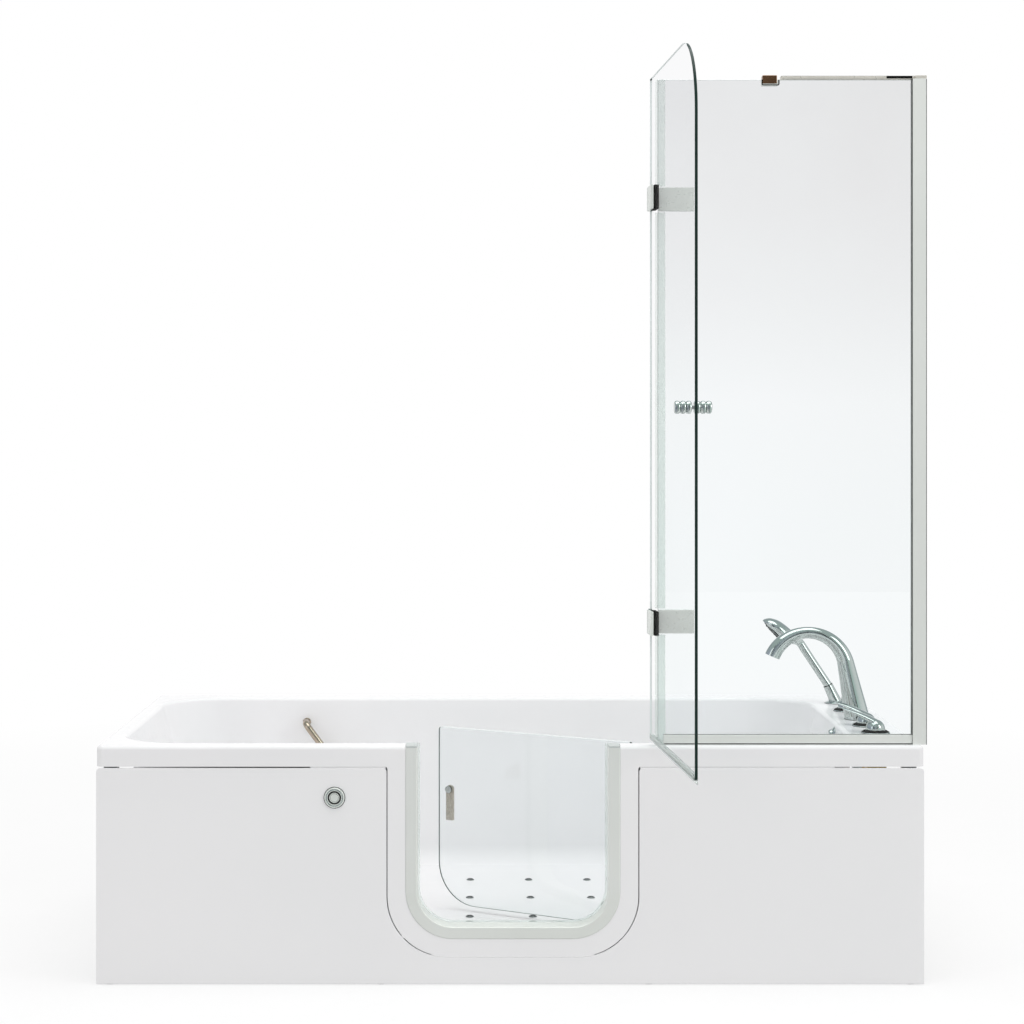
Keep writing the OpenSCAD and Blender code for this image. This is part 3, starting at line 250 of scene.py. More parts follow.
def arc(cx, cy, r, a0, a1, steps):
    out = []
    for i in range(steps + 1):
        a = math.radians(a0 + (a1 - a0) * i / steps)
        out.append((cx + r * math.cos(a), cy + r * math.sin(a)))
    return out


def cutAway(thing, cutterMesh):
    tool = addObject("cutter", cutterMesh)
    extra = thing.modifiers.new("cut", "BOOLEAN")
    extra.operation = "DIFFERENCE"
    extra.solver = "EXACT"
    extra.object = tool
    bakeModifiers(thing)
    bpy.data.objects.remove(tool)
    return thing


def melt(name, parts, voxel, smooth):
    thing = addObject(name, joinMeshes(name, parts))
    remesh = thing.modifiers.new("remesh", "REMESH")
    remesh.mode = "VOXEL"
    remesh.voxel_size = voxel * mm
    soft = thing.modifiers.new("soft", "SMOOTH")
    soft.factor = 0.5
    soft.iterations = smooth
    return bakeModifiers(thing)


# material helpers

def linear(rgb):
    out = []
    for c in rgb:
        c = c / 255
        out.append(c / 12.92 if c <= 0.04045 else ((c + 0.055) / 1.055) ** 2.4)
    return (*out, 1)


def node(tree, kind, x, y, **values):
    made = tree.nodes.new(kind)
    made.location = (x, y)
    for key, value in values.items():
        setattr(made, key, value)
    return made


def wire(*links):
    for first, output, second, socket in links:
        first.id_data.links.new(first.outputs[output], second.inputs[socket])


# each input takes a value or another node's output
def feed(made, values):
    for label, value in values.items():
        socket = made.inputs[label]
        if isinstance(value, bpy.types.NodeSocket):
            made.id_data.links.new(value, socket)
        else:
            socket.default_value = value
    return made


def noise(tree, x, y, source, scale, detail=3, roughness=0.5):
    made = feed(node(tree, "ShaderNodeTexNoise", x, y), {"Scale": scale, "Detail": detail,
                                                         "Roughness": roughness, "Vector": source})
    return made.outputs["Fac"]


def span(tree, x, y, source, low, high, fromLow=0.3, fromHigh=0.7):
    made = feed(node(tree, "ShaderNodeMapRange", x, y), {
        "From Min": fromLow, "From Max": fromHigh, "To Min": low, "To Max": high, "Value": source})
    return made.outputs["Result"]


def mixColour(tree, x, y, factor, first, second):
    made = node(tree, "ShaderNodeMix", x, y, data_type="RGBA")
    sockets = [s for s in made.inputs if s.enabled]
    for socket, value in zip((sockets[0], sockets[1], sockets[2]), (factor, first, second)):
        if isinstance(value, bpy.types.NodeSocket):
            tree.links.new(value, socket)
        else:
            socket.default_value = value
    return [s for s in made.outputs if s.enabled][0]


def startMaterial(name):
    mat = bpy.data.materials.new(name)
    mat.use_nodes = True
    tree = mat.node_tree
    tree.nodes.clear()
    out = node(tree, "ShaderNodeOutputMaterial", 900, 0)
    shader = node(tree, "ShaderNodeBsdfPrincipled", 560, 0)
    tree.links.new(shader.outputs["BSDF"], out.inputs["Surface"])
    coords = node(tree, "ShaderNodeTexCoord", -900, 0)
    return mat, tree, shader, coords.outputs["Object"], out


def stretched(tree, source, scale):
    made = feed(node(tree, "ShaderNodeMapping", -700, 0), {"Scale": scale, "Vector": source})
    return made.outputs["Vector"]


def bumpFrom(tree, x, y, height, strength, distance):
    made = feed(node(tree, "ShaderNodeBump", x, y), {"Strength": strength, "Distance": distance,
                                                     "Height": height})
    return made.outputs["Normal"]


edgeRange = (0.5, 0.56)  # pointiness from no wear to full wear


# a look's colours drift over the piece, wear shows on edges, and fine grain drives gloss and bump
def variedMaterial(name, look):
    mat, tree, shader, coords, _ = startMaterial(name)
    broad = noise(tree, -480, 260, coords, look["broad"], 4, 0.55)
    fineSource = stretched(tree, coords, look["grain"]) if "grain" in look else coords
    fine = noise(tree, -480, -60, fineSource, look["fine"], 5, 0.6)
    colour = mixColour(tree, -100, 260, span(tree, -280, 260, broad, 0, 1), linear(look["colour"]),
                       linear(look["second"]))
    edge = node(tree, "ShaderNodeNewGeometry", -480, 60).outputs["Pointiness"]
    onEdge = span(tree, -280, 60, edge, 0, 1, *edgeRange)
    worn = span(tree, -60, 80, onEdge, 0, look["wear"], 0, 1)
    colour = mixColour(tree, 120, 260, worn, colour, linear(look["worn"]))
    mid, spread = look["rough"], look["roughSpread"]
    feed(shader, {"Base Color": colour, "Metallic": look["metal"], "IOR": look.get("ior", 1.5),
                  "Specular IOR Level": look.get("specular", 0.5), "Coat Weight": look.get("coat", 0),
                  "Coat Roughness": look.get("coatRough", 0.05), "Anisotropic": look.get("brushed", 0),
                  "Roughness": span(tree, -60, -120, fine, mid - spread, mid + spread),
                  "Normal": bumpFrom(tree, 200, -260, fine, look["bump"], look["depth"])})
    return mat


# painted shade by height, the panes darker towards the top and the seal lighter, and clear for shadow and
# diffuse rays
def glassMaterial(name, look):
    mat, tree, shader, coords, out = startMaterial(name)
    smudge = noise(tree, -480, 0, coords, look["smudge"], 5, 0.6)
    ripple = noise(tree, -480, -300, coords, look["ripple"], 2, 0.4)
    height = node(tree, "ShaderNodeSeparateXYZ", -700, 500)
    tree.links.new(coords, height.inputs[0])
    # this ramp on height is painted shade laid into the tint
    grade = node(tree, "ShaderNodeValToRGB", -280, 500)
    fillRamp(grade, [(position, linear(rgb)) for position, rgb in look["grade"]])
    feed(grade, {"Fac": span(tree, -480, 500, height.outputs["Z"], 0, 1, 0, look["paintedShadeTop"])})
    tint = mixColour(tree, 120, 260, span(tree, -280, 260, smudge, 0, look["uneven"]),
                     grade.outputs["Color"], linear(look["second"]))
    rough = span(tree, -280, 0, smudge, look["rough"], look["rough"] + look["roughSpread"], 0.4, 0.75)
    feed(shader, {"Metallic": 0, "IOR": look["ior"], "Transmission Weight": look["clear"],
                  "Base Color": tint, "Roughness": rough,
                  "Normal": bumpFrom(tree, 200, -300, ripple, look["bump"], look["depth"])})
    path = node(tree, "ShaderNodeLightPath", 300, 500)
    through = feed(node(tree, "ShaderNodeBsdfTransparent", 560, 300), {"Color": linear(look["shadow"])})
    mixer = node(tree, "ShaderNodeMixShader", 740, 120)
    either = node(tree, "ShaderNodeMath", 560, 500, operation="MAXIMUM")
    wire((path, "Is Shadow Ray", either, 0), (path, "Is Diffuse Ray", either, 1),
         (either, "Value", mixer, 0), (shader, "BSDF", mixer, 1), (through, "BSDF", mixer, 2),
         (mixer, "Shader", out, "Surface"))
    return mat


def fillRamp(ramp, stops):
    elements = ramp.color_ramp.elements
    first, last = elements[0], elements[1]
    first.position, first.color = stops[0]
    last.position, last.color = stops[-1]
    for position, colour in stops[1:-1]:
        elements.new(position).color = colour


plainLook = {"wear": 0.3, "broad": 30, "fine": 90, "rough": 0.3, "roughSpread": 0.08, "bump": 0.1,
             "depth": 0.0003, "metal": 0}
looks = {
    "acrylic": {"colour": (247, 246, 247), "second": (242, 242, 243), "worn": (251, 251, 251), "broad": 1.7,
        "fine": 55, "rough": 0.16, "roughSpread": 0.05, "bump": 0.04, "depth": 0.0006, "coat": 0.02,
        "coatRough": 0.04, "ior": 1.49, "specular": 0.08},
    "satin": {"colour": (239, 241, 236), "second": (232, 235, 229), "worn": (245, 246, 243), "wear": 0.4,
        "broad": 5, "fine": 60, "grain": (18, 18, 1.2), "rough": 0.38, "roughSpread": 0.06, "bump": 0.05,
        "metal": 0.25, "brushed": 0.3},
    "plate": {"colour": (232, 236, 230), "second": (222, 227, 221), "worn": (240, 242, 239), "broad": 16,
        "roughSpread": 0.06, "bump": 0.05, "metal": 0.2},
    "nickel": {"colour": (186, 176, 160), "second": (168, 158, 143), "worn": (212, 206, 196), "wear": 0.5,
        "broad": 14, "grain": (10, 10, 1), "rough": 0.26, "bump": 0.08, "metal": 0.9, "brushed": 0.5},
    "polished": {"colour": (192, 178, 160), "second": (160, 143, 124), "worn": (224, 216, 205), "wear": 0.4,
        "broad": 12, "fine": 120, "rough": 0.13, "roughSpread": 0.04, "bump": 0.04, "depth": 0.0002,
        "metal": 1},
    # brown: a painted reflection for the chrome brace clamp
    "bronze": {"colour": (124, 84, 54), "second": (98, 64, 42), "worn": (170, 134, 104), "wear": 0.4,
        "fine": 110, "rough": 0.24, "bump": 0.06, "metal": 0.9},
    "chrome": {"colour": (196, 203, 200), "second": (184, 192, 189), "worn": (216, 220, 219), "wear": 0.35,
        "broad": 9, "fine": 130, "rough": 0.045, "roughSpread": 0.02, "bump": 0.003, "depth": 0.0002,
        "metal": 1},
    "steel": {"colour": (168, 171, 172), "second": (140, 144, 147), "worn": (196, 198, 198), "wear": 0.6,
        "broad": 26, "fine": 45, "rough": 0.42, "roughSpread": 0.1, "bump": 0.15, "depth": 0.0005,
        "metal": 0.8},
    "rubber": {"colour": (40, 42, 43), "second": (54, 56, 57), "worn": (88, 90, 90), "wear": 0.4,
        "broad": 20, "fine": 160, "rough": 0.62, "roughSpread": 0.1, "bump": 0.2, "depth": 0.0004},
    "plastic": {"colour": (226, 226, 222), "second": (214, 215, 211), "worn": (238, 238, 236), "broad": 8,
        "fine": 140, "rough": 0.42},
    "pipe": {"colour": (214, 216, 218), "second": (200, 203, 206), "worn": (232, 233, 234), "wear": 0.4,
        "broad": 6, "fine": 120, "rough": 0.36},
    "brass": {"colour": (198, 166, 98), "second": (174, 142, 84), "worn": (222, 198, 140), "wear": 0.5,
        "fine": 110, "roughSpread": 0.1, "bump": 0.2, "depth": 0.0004, "metal": 1},
    "nozzle": {"colour": (104, 110, 110), "second": (88, 94, 95), "worn": (130, 134, 134), "broad": 25,
        "fine": 150, "rough": 0.45},
    "dark": {"colour": (46, 48, 47), "second": (62, 64, 62), "worn": (90, 92, 90), "broad": 18, "fine": 150,
        "rough": 0.4},
    "black": {"colour": (17, 17, 16), "second": (24, 24, 23), "worn": (34, 35, 34), "wear": 0.2,
        "broad": 22, "fine": 150, "rough": 0.75, "ior": 1.05, "specular": 0.02},
    "jet": {"colour": (112, 116, 116), "second": (92, 97, 97), "worn": (150, 154, 154), "wear": 0.4,
        "broad": 25, "fine": 150, "metal": 0.6},
    "bar": {"colour": (226, 222, 211), "second": (212, 208, 197), "worn": (238, 235, 228), "broad": 24,
        "fine": 120, "roughSpread": 0.05, "bump": 0.04, "depth": 0.0002, "metal": 0.3},
    "glassEdge": {"colour": (9, 17, 15), "second": (22, 42, 37), "worn": (60, 90, 82), "wear": 0.2,
        "broad": 3, "roughSpread": 0.06, "bump": 0.05, "depth": 0.0002, "coat": 0.1, "specular": 0.2},
    # pale edge finish: a painted highlight for upward and back-facing glass edges
    "paleEdge": {"colour": (238, 244, 243), "second": (214, 224, 222), "worn": (250, 252, 252), "broad": 4,
        "rough": 0.2, "roughSpread": 0.06, "bump": 0.05, "depth": 0.0002, "coat": 0.4},
    "gasket": {"colour": (206, 211, 209), "second": (192, 198, 196), "worn": (224, 227, 226), "wear": 0.4,
        "broad": 20, "fine": 160, "rough": 0.5, "roughSpread": 0.1, "bump": 0.15, "depth": 0.0004}}
materials = {key: variedMaterial(key + "Finish", {**plainLook, **look}) for key, look in looks.items()}
plainGlass = {"paintedShadeTop": 2.01, "second": (246, 250, 250), "uneven": 0.25, "clear": 1, "rough": 0,
              "roughSpread": 0.02, "smudge": 3, "ripple": 1.5, "bump": 0.02, "depth": 0.0005}
# each ramp of colour by height below is painted shade
glassLooks = {
    "glass": {"shadow": (246, 250, 249), "ior": 1.42, "grade": [
        (0, (252, 254, 254)), (0.5, (250, 253, 254)), (0.64, (250, 252, 253)), (0.76, (242, 243, 244)),
        (0.88, (236, 236, 237)), (1, (233, 233, 234))]},
    "swingGlass": {"shadow": (248, 250, 250), "ior": 1.01, "second": (246, 248, 248), "grade": [
        (0, (253, 254, 254)), (0.6, (253, 253, 253)), (1, (250, 250, 251))]},
    "seal": {"shadow": (240, 245, 244), "ior": 1.08, "second": (245, 249, 247), "uneven": 0.5,
             "clear": 0.85, "rough": 0.1, "roughSpread": 0.12, "smudge": 20, "ripple": 14, "bump": 0.04,
             "depth": 0.0004, "grade": [(0, (244, 249, 247)), (0.5, (248, 251, 249)), (1, (251, 252, 251))]}}
for key, look in glassLooks.items():
    materials[key] = glassMaterial(key + "Finish", {**plainGlass, **look})
print("stage: materials,", len(materials))


# geometry node trees

def newTree(name, inputs):
    tree = bpy.data.node_groups.new(name, "GeometryNodeTree")
    for label, kind, value in [("Geometry", "Geometry", None)] + inputs:
        socket = tree.interface.new_socket(label, in_out="INPUT", socket_type="NodeSocket" + kind)
        if value is not None:
            socket.default_value = value
    tree.interface.new_socket("Geometry", in_out="OUTPUT", socket_type="NodeSocketGeometry")
    return tree, node(tree, "NodeGroupInput", -900, 0), node(tree, "NodeGroupOutput", 900, 0)


# a modifier's inputs are set by the sockets' identifiers
def runTree(tree, name, mesh, values):
    thing = addObject(name, mesh)
    extra = thing.modifiers.new("rule", "NODES")
    extra.node_group = tree
    known = {item.name: item.identifier for item in tree.interface.items_tree if item.in_out == "INPUT"}
    for label, value in values.items():
        extra[known[label]] = value
    thing.update_tag()
    result = evaluated(thing, name)
    thing.modifiers.clear()
    thing.data = result
    return thing


def makePipeTree():
    tree, start, end = newTree("pipeRule", [("Radius", "Float", 0.011), ("Bend", "Float", 0.018),
                                            ("Sides", "Int", 32), ("Finish", "Material", None)])
    curve = node(tree, "GeometryNodeMeshToCurve", -700, 0)
    fillet = feed(node(tree, "GeometryNodeFilletCurve", -520, 0, mode="POLY"), {"Count": 12})
    circle = node(tree, "GeometryNodeCurvePrimitiveCircle", -520, -240)
    sweep = feed(node(tree, "GeometryNodeCurveToMesh", -200, 0), {"Fill Caps": True})
    merge = feed(node(tree, "GeometryNodeMergeByDistance", 0, 0), {"Distance": 1e-6})
    smooth = node(tree, "GeometryNodeSetShadeSmooth", 200, 0)
    realize = node(tree, "GeometryNodeRealizeInstances", 400, 0)
    paint = node(tree, "GeometryNodeSetMaterial", 600, 0)
    wire((start, "Geometry", curve, "Mesh"), (curve, "Curve", fillet, "Curve"),
         (start, "Bend", fillet, "Radius"), (start, "Sides", circle, "Resolution"),
         (start, "Radius", circle, "Radius"), (fillet, "Curve", sweep, "Curve"),
         (circle, "Curve", sweep, "Profile Curve"), (sweep, "Mesh", merge, "Geometry"),
         (merge, "Geometry", smooth, "Geometry"), (smooth, "Geometry", realize, "Geometry"),
         (realize, "Geometry", paint, "Geometry"), (start, "Finish", paint, "Material"),
         (paint, "Geometry", end, "Geometry"))
    return tree


def makeScatterTree():
    tree, start, end = newTree("scatterRule", [("Item", "Object", None), ("Turn", "Vector", (0, 0, 0)),
                                               ("Spread", "Float", 0), ("Seed", "Int", 3),
                                               ("Finish", "Material", None)])
    info = node(tree, "GeometryNodeObjectInfo", -700, -200, transform_space="ORIGINAL")
    toPoints = node(tree, "GeometryNodeMeshToPoints", -700, 100)
    instance = node(tree, "GeometryNodeInstanceOnPoints", -300, 0)
    spin = node(tree, "FunctionNodeRandomValue", -560, -420, data_type="FLOAT")
    spinMax = [s for s in spin.inputs if s.name == "Max" and s.enabled][0]
    spinOut = [s for s in spin.outputs if s.enabled][0]
    aboutSelf = node(tree, "GeometryNodeRotateInstances", -60, 0)
    combine = node(tree, "ShaderNodeCombineXYZ", -300, -420)
    realize = node(tree, "GeometryNodeRealizeInstances", 200, 0)
    paint = node(tree, "GeometryNodeSetMaterial", 500, 0)
    tree.links.new(start.outputs["Spread"], spinMax)
    tree.links.new(spinOut, combine.inputs["Z"])
    wire((start, "Geometry", toPoints, "Mesh"), (start, "Item", info, "Object"),
         (toPoints, "Points", instance, "Points"), (info, "Geometry", instance, "Instance"),
         (start, "Turn", instance, "Rotation"), (start, "Seed", spin, "Seed"),
         (instance, "Instances", aboutSelf, "Instances"), (combine, "Vector", aboutSelf, "Rotation"),
         (aboutSelf, "Instances", realize, "Geometry"), (realize, "Geometry", paint, "Geometry"),
         (start, "Finish", paint, "Material"), (paint, "Geometry", end, "Geometry"))
    return tree


pipeTree = makePipeTree()
scatterTree = makeScatterTree()


def pipe(name, points, radius, bend, finish, sides=32):
    mesh = bpy.data.meshes.new(name + "Path")
    mesh.from_pydata(place(points), [(i, i + 1) for i in range(len(points) - 1)], [])
    made = runTree(pipeTree, name, mesh, {"Radius": radius * mm, "Bend": bend * mm, "Sides": sides,
                                          "Finish": materials[finish]})
    shade(reshape(made.data, faceOut), 40)
    return made


def scatter(name, itemMesh, spots, turn, finish, spread=0, seed=3):
    item = addObject("item", itemMesh)
    mesh = bpy.data.meshes.new(name + "Spots")
    mesh.from_pydata(place(spots), [], [])
    made = runTree(scatterTree, name, mesh, {"Item": item, "Turn": turn, "Spread": spread, "Seed": seed,
                                             "Finish": materials[finish]})
    bpy.data.objects.remove(item)
    shade(made.data, 34)
    return made


print("stage: node trees")


# camera, floor, light

camera = {"x": -55.5, "y": -5117, "z": 1216.3, "lens": 74.2, "shiftX": 0.0263, "shiftY": -0.076}
cameraData = bpy.data.cameras.new("photoCamera")
cameraData.lens = camera["lens"]
cameraData.sensor_width = 36
cameraData.shift_x = camera["shiftX"]
cameraData.shift_y = camera["shiftY"]
cameraData.clip_end = 60
cameraObject = bpy.data.objects.new("photoCamera", cameraData)
cameraObject.location = (camera["x"] * mm, camera["y"] * mm, camera["z"] * mm)
cameraObject.rotation_euler = (math.radians(90), 0, 0)
bpy.context.scene.collection.objects.link(cameraObject)
bpy.context.scene.camera = cameraObject
bpy.context.scene.view_settings.view_transform = "Standard"

lights = [
    {"name": "topSoftbox", "at": (0.2, -0.6, 4.2), "aim": (0, 0, 0.4), "size": (3.6, 2.6), "power": 56},
    {"name": "leftSoftbox", "at": (-3.6, -3.4, 2.4), "aim": (0, 0, 0.7), "size": (1.6, 2.6), "power": 16},
    {"name": "rightSoftbox", "at": (3.8, -2.6, 2.6), "aim": (0.2, 0, 0.8), "size": (1.2, 2.4), "power": 34}]
for light in lights:
    data = bpy.data.lights.new(light["name"], "AREA")
    data.shape = "RECTANGLE"
    data.size, data.size_y = light["size"]
    data.energy = light["power"]
    lamp = bpy.data.objects.new(light["name"], data)
    lamp.location = light["at"]
    aim = Vector(light["aim"]) - Vector(light["at"])
    lamp.rotation_euler = aim.to_track_quat("-Z", "Y").to_euler()
    bpy.context.scene.collection.objects.link(lamp)

skyLook = {"low": 0.61, "high": 0.78, "top": (0.50, 0.58, 0.56), "back": (0.44, 0.49, 0.51),
           "line": (0.03, 0.04, 0.045), "stops": [
               (0, (0.42, 0.45, 0.53)), (0.12, (0.54, 0.57, 0.67)), (0.15, "line"), (0.23, "line"),
               (0.26, (0.27, 0.29, 0.34)), (0.42, (0.32, 0.35, 0.40)), (0.5, (0.56, 0.60, 0.62)),
               (0.56, (0.32, 0.36, 0.39)), (0.59, "line"), (0.66, "line"), (0.69, (0.50, 0.66, 0.61)),
               (1, (1, 1, 1))], "end": (0.34, 0.45, 0.41)}
world = bpy.data.worlds.new("studio")
bpy.context.scene.world = world
world.use_nodes = True
sky = world.node_tree
sky.nodes.clear()
skyOut = node(sky, "ShaderNodeOutputWorld", 1100, 0)
skyMix = node(sky, "ShaderNodeMixShader", 900, 0)
skyMixShine = node(sky, "ShaderNodeMixShader", 700, -120)
skyPath = node(sky, "ShaderNodeLightPath", 0, 300)
skyCoords = node(sky, "ShaderNodeTexCoord", -900, -200)
skySplit = node(sky, "ShaderNodeSeparateXYZ", -720, -200)
wire((skyCoords, "Generated", skySplit, 0))
skyX, skyY, skyZ = skySplit.outputs["X"], skySplit.outputs["Y"], skySplit.outputs["Z"]
isCamera, isGlossy = skyPath.outputs["Is Camera Ray"], skyPath.outputs["Is Glossy Ray"]
isThrough = skyPath.outputs["Is Transmission Ray"]


def skyMath(x, y, kind, first, second):
    made = node(sky, "ShaderNodeMath", x, y, operation=kind)
    sky.links.new(first, made.inputs[0])
    sky.links.new(second, made.inputs[1])
    return made.outputs[0]


# what polished metal mirrors: soft colours with thin dark lines from side to side
skyRamp = node(sky, "ShaderNodeValToRGB", -380, -400)
fillRamp(skyRamp, [(position, (*(skyLook["line"] if colour == "line" else colour), 1))
                   for position, colour in skyLook["stops"]])
skyRamp.color_ramp.elements.new(1).color = (*skyLook["end"], 1)
feed(skyRamp, {"Fac": span(sky, -560, -400, skyX, 0, 1, -1, 1)})
shine = mixColour(sky, 140, -500, span(sky, 0, -500, skyZ, 0, 1, 0.42, 0.6), skyRamp.outputs["Color"],
                  (*skyLook["top"], 1))
shine = mixColour(sky, 320, -500, span(sky, 180, -500, skyY, 0, 1, 0.3, 0.7), shine, (*skyLook["back"], 1))
skyShine = feed(node(sky, "ShaderNodeBackground", 500, -240), {"Color": shine})
skyWhite = feed(node(sky, "ShaderNodeBackground", 700, 140), {"Color": (1, 1, 1, 1)})
skyLevel = span(sky, 240, -60, skyZ, skyLook["low"], skyLook["high"], -0.1, 0.9)
skySoft = feed(node(sky, "ShaderNodeBackground", 500, -60), {"Color": (1, 1, 1, 1), "Strength": skyLevel})
# the white background is seen straight, through glass, and in gloss that looks to the back
skyUnmirrored = span(sky, 0, 660, skyPath.outputs["Glossy Depth"], 1, 0, 0, 1)
skyBehind = span(sky, 0, 480, skyY, 0, 1, 0.85, 0.97)
skyBent = skyMath(120, 560, "MAXIMUM", isGlossy, isThrough)
skySeen = skyMath(420, 480, "MAXIMUM", skyMath(240, 660, "MULTIPLY", isThrough, skyUnmirrored),
                  skyMath(240, 480, "MULTIPLY", skyBent, skyBehind))
sky.links.new(skyMath(560, 300, "MAXIMUM", isCamera, skySeen), skyMix.inputs[0])
sky.links.new(skyBent, skyMixShine.inputs[0])
wire((skySoft, 0, skyMixShine, 1), (skyShine, 0, skyMixShine, 2), (skyMixShine, 0, skyMix, 1),
     (skyWhite, 0, skyMix, 2), (skyMix, 0, skyOut, "Surface"))

floorLook = {"size": 24000, "near": 1.5, "far": 4.2, "drop": 0.4, "colour": (250, 250, 250),
             "second": (246, 246, 246)}
half = floorLook["size"] / 2
floor = addObject("studioFloor", meshFrom("studioFloor", [
    (x, y, -floorLook["drop"]) for x, y in rectangle(-half, half, -half, half)], [(0, 1, 2, 3)]))
floorMat, floorTree, floorShader, floorCoords, floorOut = startMaterial("floorFinish")
floorNoise = noise(floorTree, -480, 200, floorCoords, 2.2, 4)
floorShade = mixColour(floorTree, 0, 200, span(floorTree, -280, 200, floorNoise, 0, 1),
                       linear(floorLook["colour"]), linear(floorLook["second"]))
feed(floorShader, {"Base Color": floorShade, "Roughness": 0.85, "Specular IOR Level": 0.1})
floorGlow = feed(node(floorTree, "ShaderNodeEmission", 560, 260), {"Strength": 1})
floorLength = node(floorTree, "ShaderNodeVectorMath", -280, 460, operation="LENGTH")
floorTree.links.new(floorCoords, floorLength.inputs[0])
floorFade = span(floorTree, 0, 460, floorLength.outputs["Value"], 0.72, 1, floorLook["near"],
                 floorLook["far"])
floorMix = node(floorTree, "ShaderNodeMixShader", 740, 120)
floorPath = node(floorTree, "ShaderNodeLightPath", 200, 700)
floorSeen = node(floorTree, "ShaderNodeMath", 380, 700, operation="MAXIMUM")
floorOpen = node(floorTree, "ShaderNodeBsdfTransparent", 560, 420)
floorFar = node(floorTree, "ShaderNodeMixShader", 740, 420)
floorTree.links.new(floorFade, floorMix.inputs[0])
wire((floorPath, "Is Camera Ray", floorSeen, 0), (floorPath, "Is Transmission Ray", floorSeen, 1),
     (floorSeen, "Value", floorFar, 0), (floorOpen, "BSDF", floorFar, 1),
     (floorGlow, "Emission", floorFar, 2), (floorShader, "BSDF", floorMix, 1),
     (floorFar, "Shader", floorMix, 2), (floorMix, "Shader", floorOut, "Surface"))
floor.data.materials.append(floorMat)
print("stage: camera, light and floor")


# acrylic shell

tub = {"length": 1829, "width": 914, "rim": 528, "floor": 100, "thickness": 6, "frontDeck": 50,
       "backDeck": 65, "leftDeck": 38, "rightDeck": 136, "edgeRound": 9, "cornerRound": 14, "apron": 46,
       "backrestLean": 16, "tapWallLean": 3, "leftCorner": 140, "rightCorner": 150, "floorRound": 45,
       "frontFloorRound": 14, "lipRound": 9, "flangeSide": 40, "flangeLow": 39, "innerCorner": 6,
       "wallLevels": (480, 420, 340, 260, 190)}
lining = {"grow": 0.2, "thickness": 5.6, "inset": 6.2, "drop": 7, "cutTop": 560}  # between the two walls
door = {"left": -231, "right": 243, "low": 102, "round": 105, "band": 26, "proud": 2}
frontY = -tub["width"] / 2
innerFront = frontY + tub["frontDeck"]
innerBack = tub["width"] / 2 - tub["backDeck"]
halfLength = tub["length"] / 2
shellSteps = {"corner": 14, "side": 16}


# each point is (x, y, and the outward direction's x and y)
def roundedOutline(x0, x1, y0, y1, radii, arcSteps=shellSteps["corner"], sideSteps=shellSteps["side"]):
    corners = [(x0, y0, radii[0], 180, 1, 1), (x1, y0, radii[1], 270, -1, 1),
               (x1, y1, radii[2], 0, -1, -1), (x0, y1, radii[3], 90, 1, -1)]
    arcs = []
    for x, y, r, first, sx, sy in corners:
        one = []
        for i in range(arcSteps + 1):
            a = math.radians(first + 90 * i / arcSteps)
            c, s = math.cos(a), math.sin(a)
            one.append((x + sx * r + r * c, y + sy * r + r * s, c, s))
        arcs.append(one)
    out = []
    for i in range(4):
        out += arcs[i]
        a, b = arcs[i][-1], arcs[(i + 1) % 4][0]
        for s in range(1, sideSteps):
            t = s / sideSteps
            out.append((a[0] + (b[0] - a[0]) * t, a[1] + (b[1] - a[1]) * t, a[2], a[3]))
    return out


def level(outline, z):
    return [(p[0], p[1], z) for p in outline]


def outerRing(inset, z):
    r = max(tub["cornerRound"] - inset, 1)
    return level(roundedOutline(-halfLength + inset, halfLength - inset, frontY + inset,
                                tub["width"] / 2 - inset, [r] * 4), z)


def basinOutline(z, grow=0):
    left = -halfLength + tub["leftDeck"] + (tub["rim"] - z) * math.tan(math.radians(tub["backrestLean"]))
    right = halfLength - tub["rightDeck"] - (tub["rim"] - z) * math.tan(math.radians(tub["tapWallLean"]))
    a, b = tub["leftCorner"] + grow, tub["rightCorner"] + grow
    return roundedOutline(left - grow, right + grow, innerFront - grow, innerBack + grow, [a, b, b, a])


def shellRings():
    rim, edge, lip = tub["rim"], tub["edgeRound"], tub["lipRound"]
    rings = [outerRing(0, rim - tub["apron"]), outerRing(0, rim - edge - 8)]
    quarter = [math.radians(90 * i / 7) for i in range(8)]
    for a in quarter:
        rings.append(outerRing(edge * (1 - math.cos(a)), rim - edge * (1 - math.sin(a))))
    for a in quarter:
        z = rim - lip * (1 - math.cos(a))
        rings.append(level(basinOutline(z, lip * (1 - math.sin(a))), z))
    rings += [level(basinOutline(z), z) for z in tub["wallLevels"]]
    low = tub["floor"]
    fillet = 8
    for i in range(fillet + 1):
        ring = []
        for j in range(len(rings[0])):
            nx, ny = basinLevel(low, j)[2:]
            front = max(0, min(1, (-ny - 0.25) / 0.75))
            front = front * front * (3 - 2 * front)
            r = tub["floorRound"] + (tub["frontFloorRound"] - tub["floorRound"]) * front
            lean = tub["backrestLean"] if nx < 0 else tub["tapWallLean"]
            slope = math.atan(math.tan(math.radians(lean)) * abs(nx))
            phi = slope + (math.pi / 2 - slope) * i / fillet
            atCentre = basinLevel(low + r, j)
            cx = atCentre[0] - nx * r / math.cos(slope)
            cy = atCentre[1] - ny * r / math.cos(slope)
            ring.append((cx + nx * r * math.cos(phi), cy + ny * r * math.cos(phi),
                         low + r - r * math.sin(phi)))
        rings.append(ring)
    return rings


levelCache = {}


def basinLevel(z, j):
    key = round(z, 3)
    if key not in levelCache:
        levelCache[key] = basinOutline(z)
    return levelCache[key][j]


def uOutline(grow, top, steps=14):
    x0, x1 = door["left"] - grow, door["right"] + grow
    low = door["low"] - grow
    r = door["round"] + grow
    points = [(x0, top)]
    points += arc(x0 + r, low + r, r, 180, 270, steps)
    points += arc(x1 - r, low + r, r, 270, 360, steps)
    points.append((x1, top))
    return points


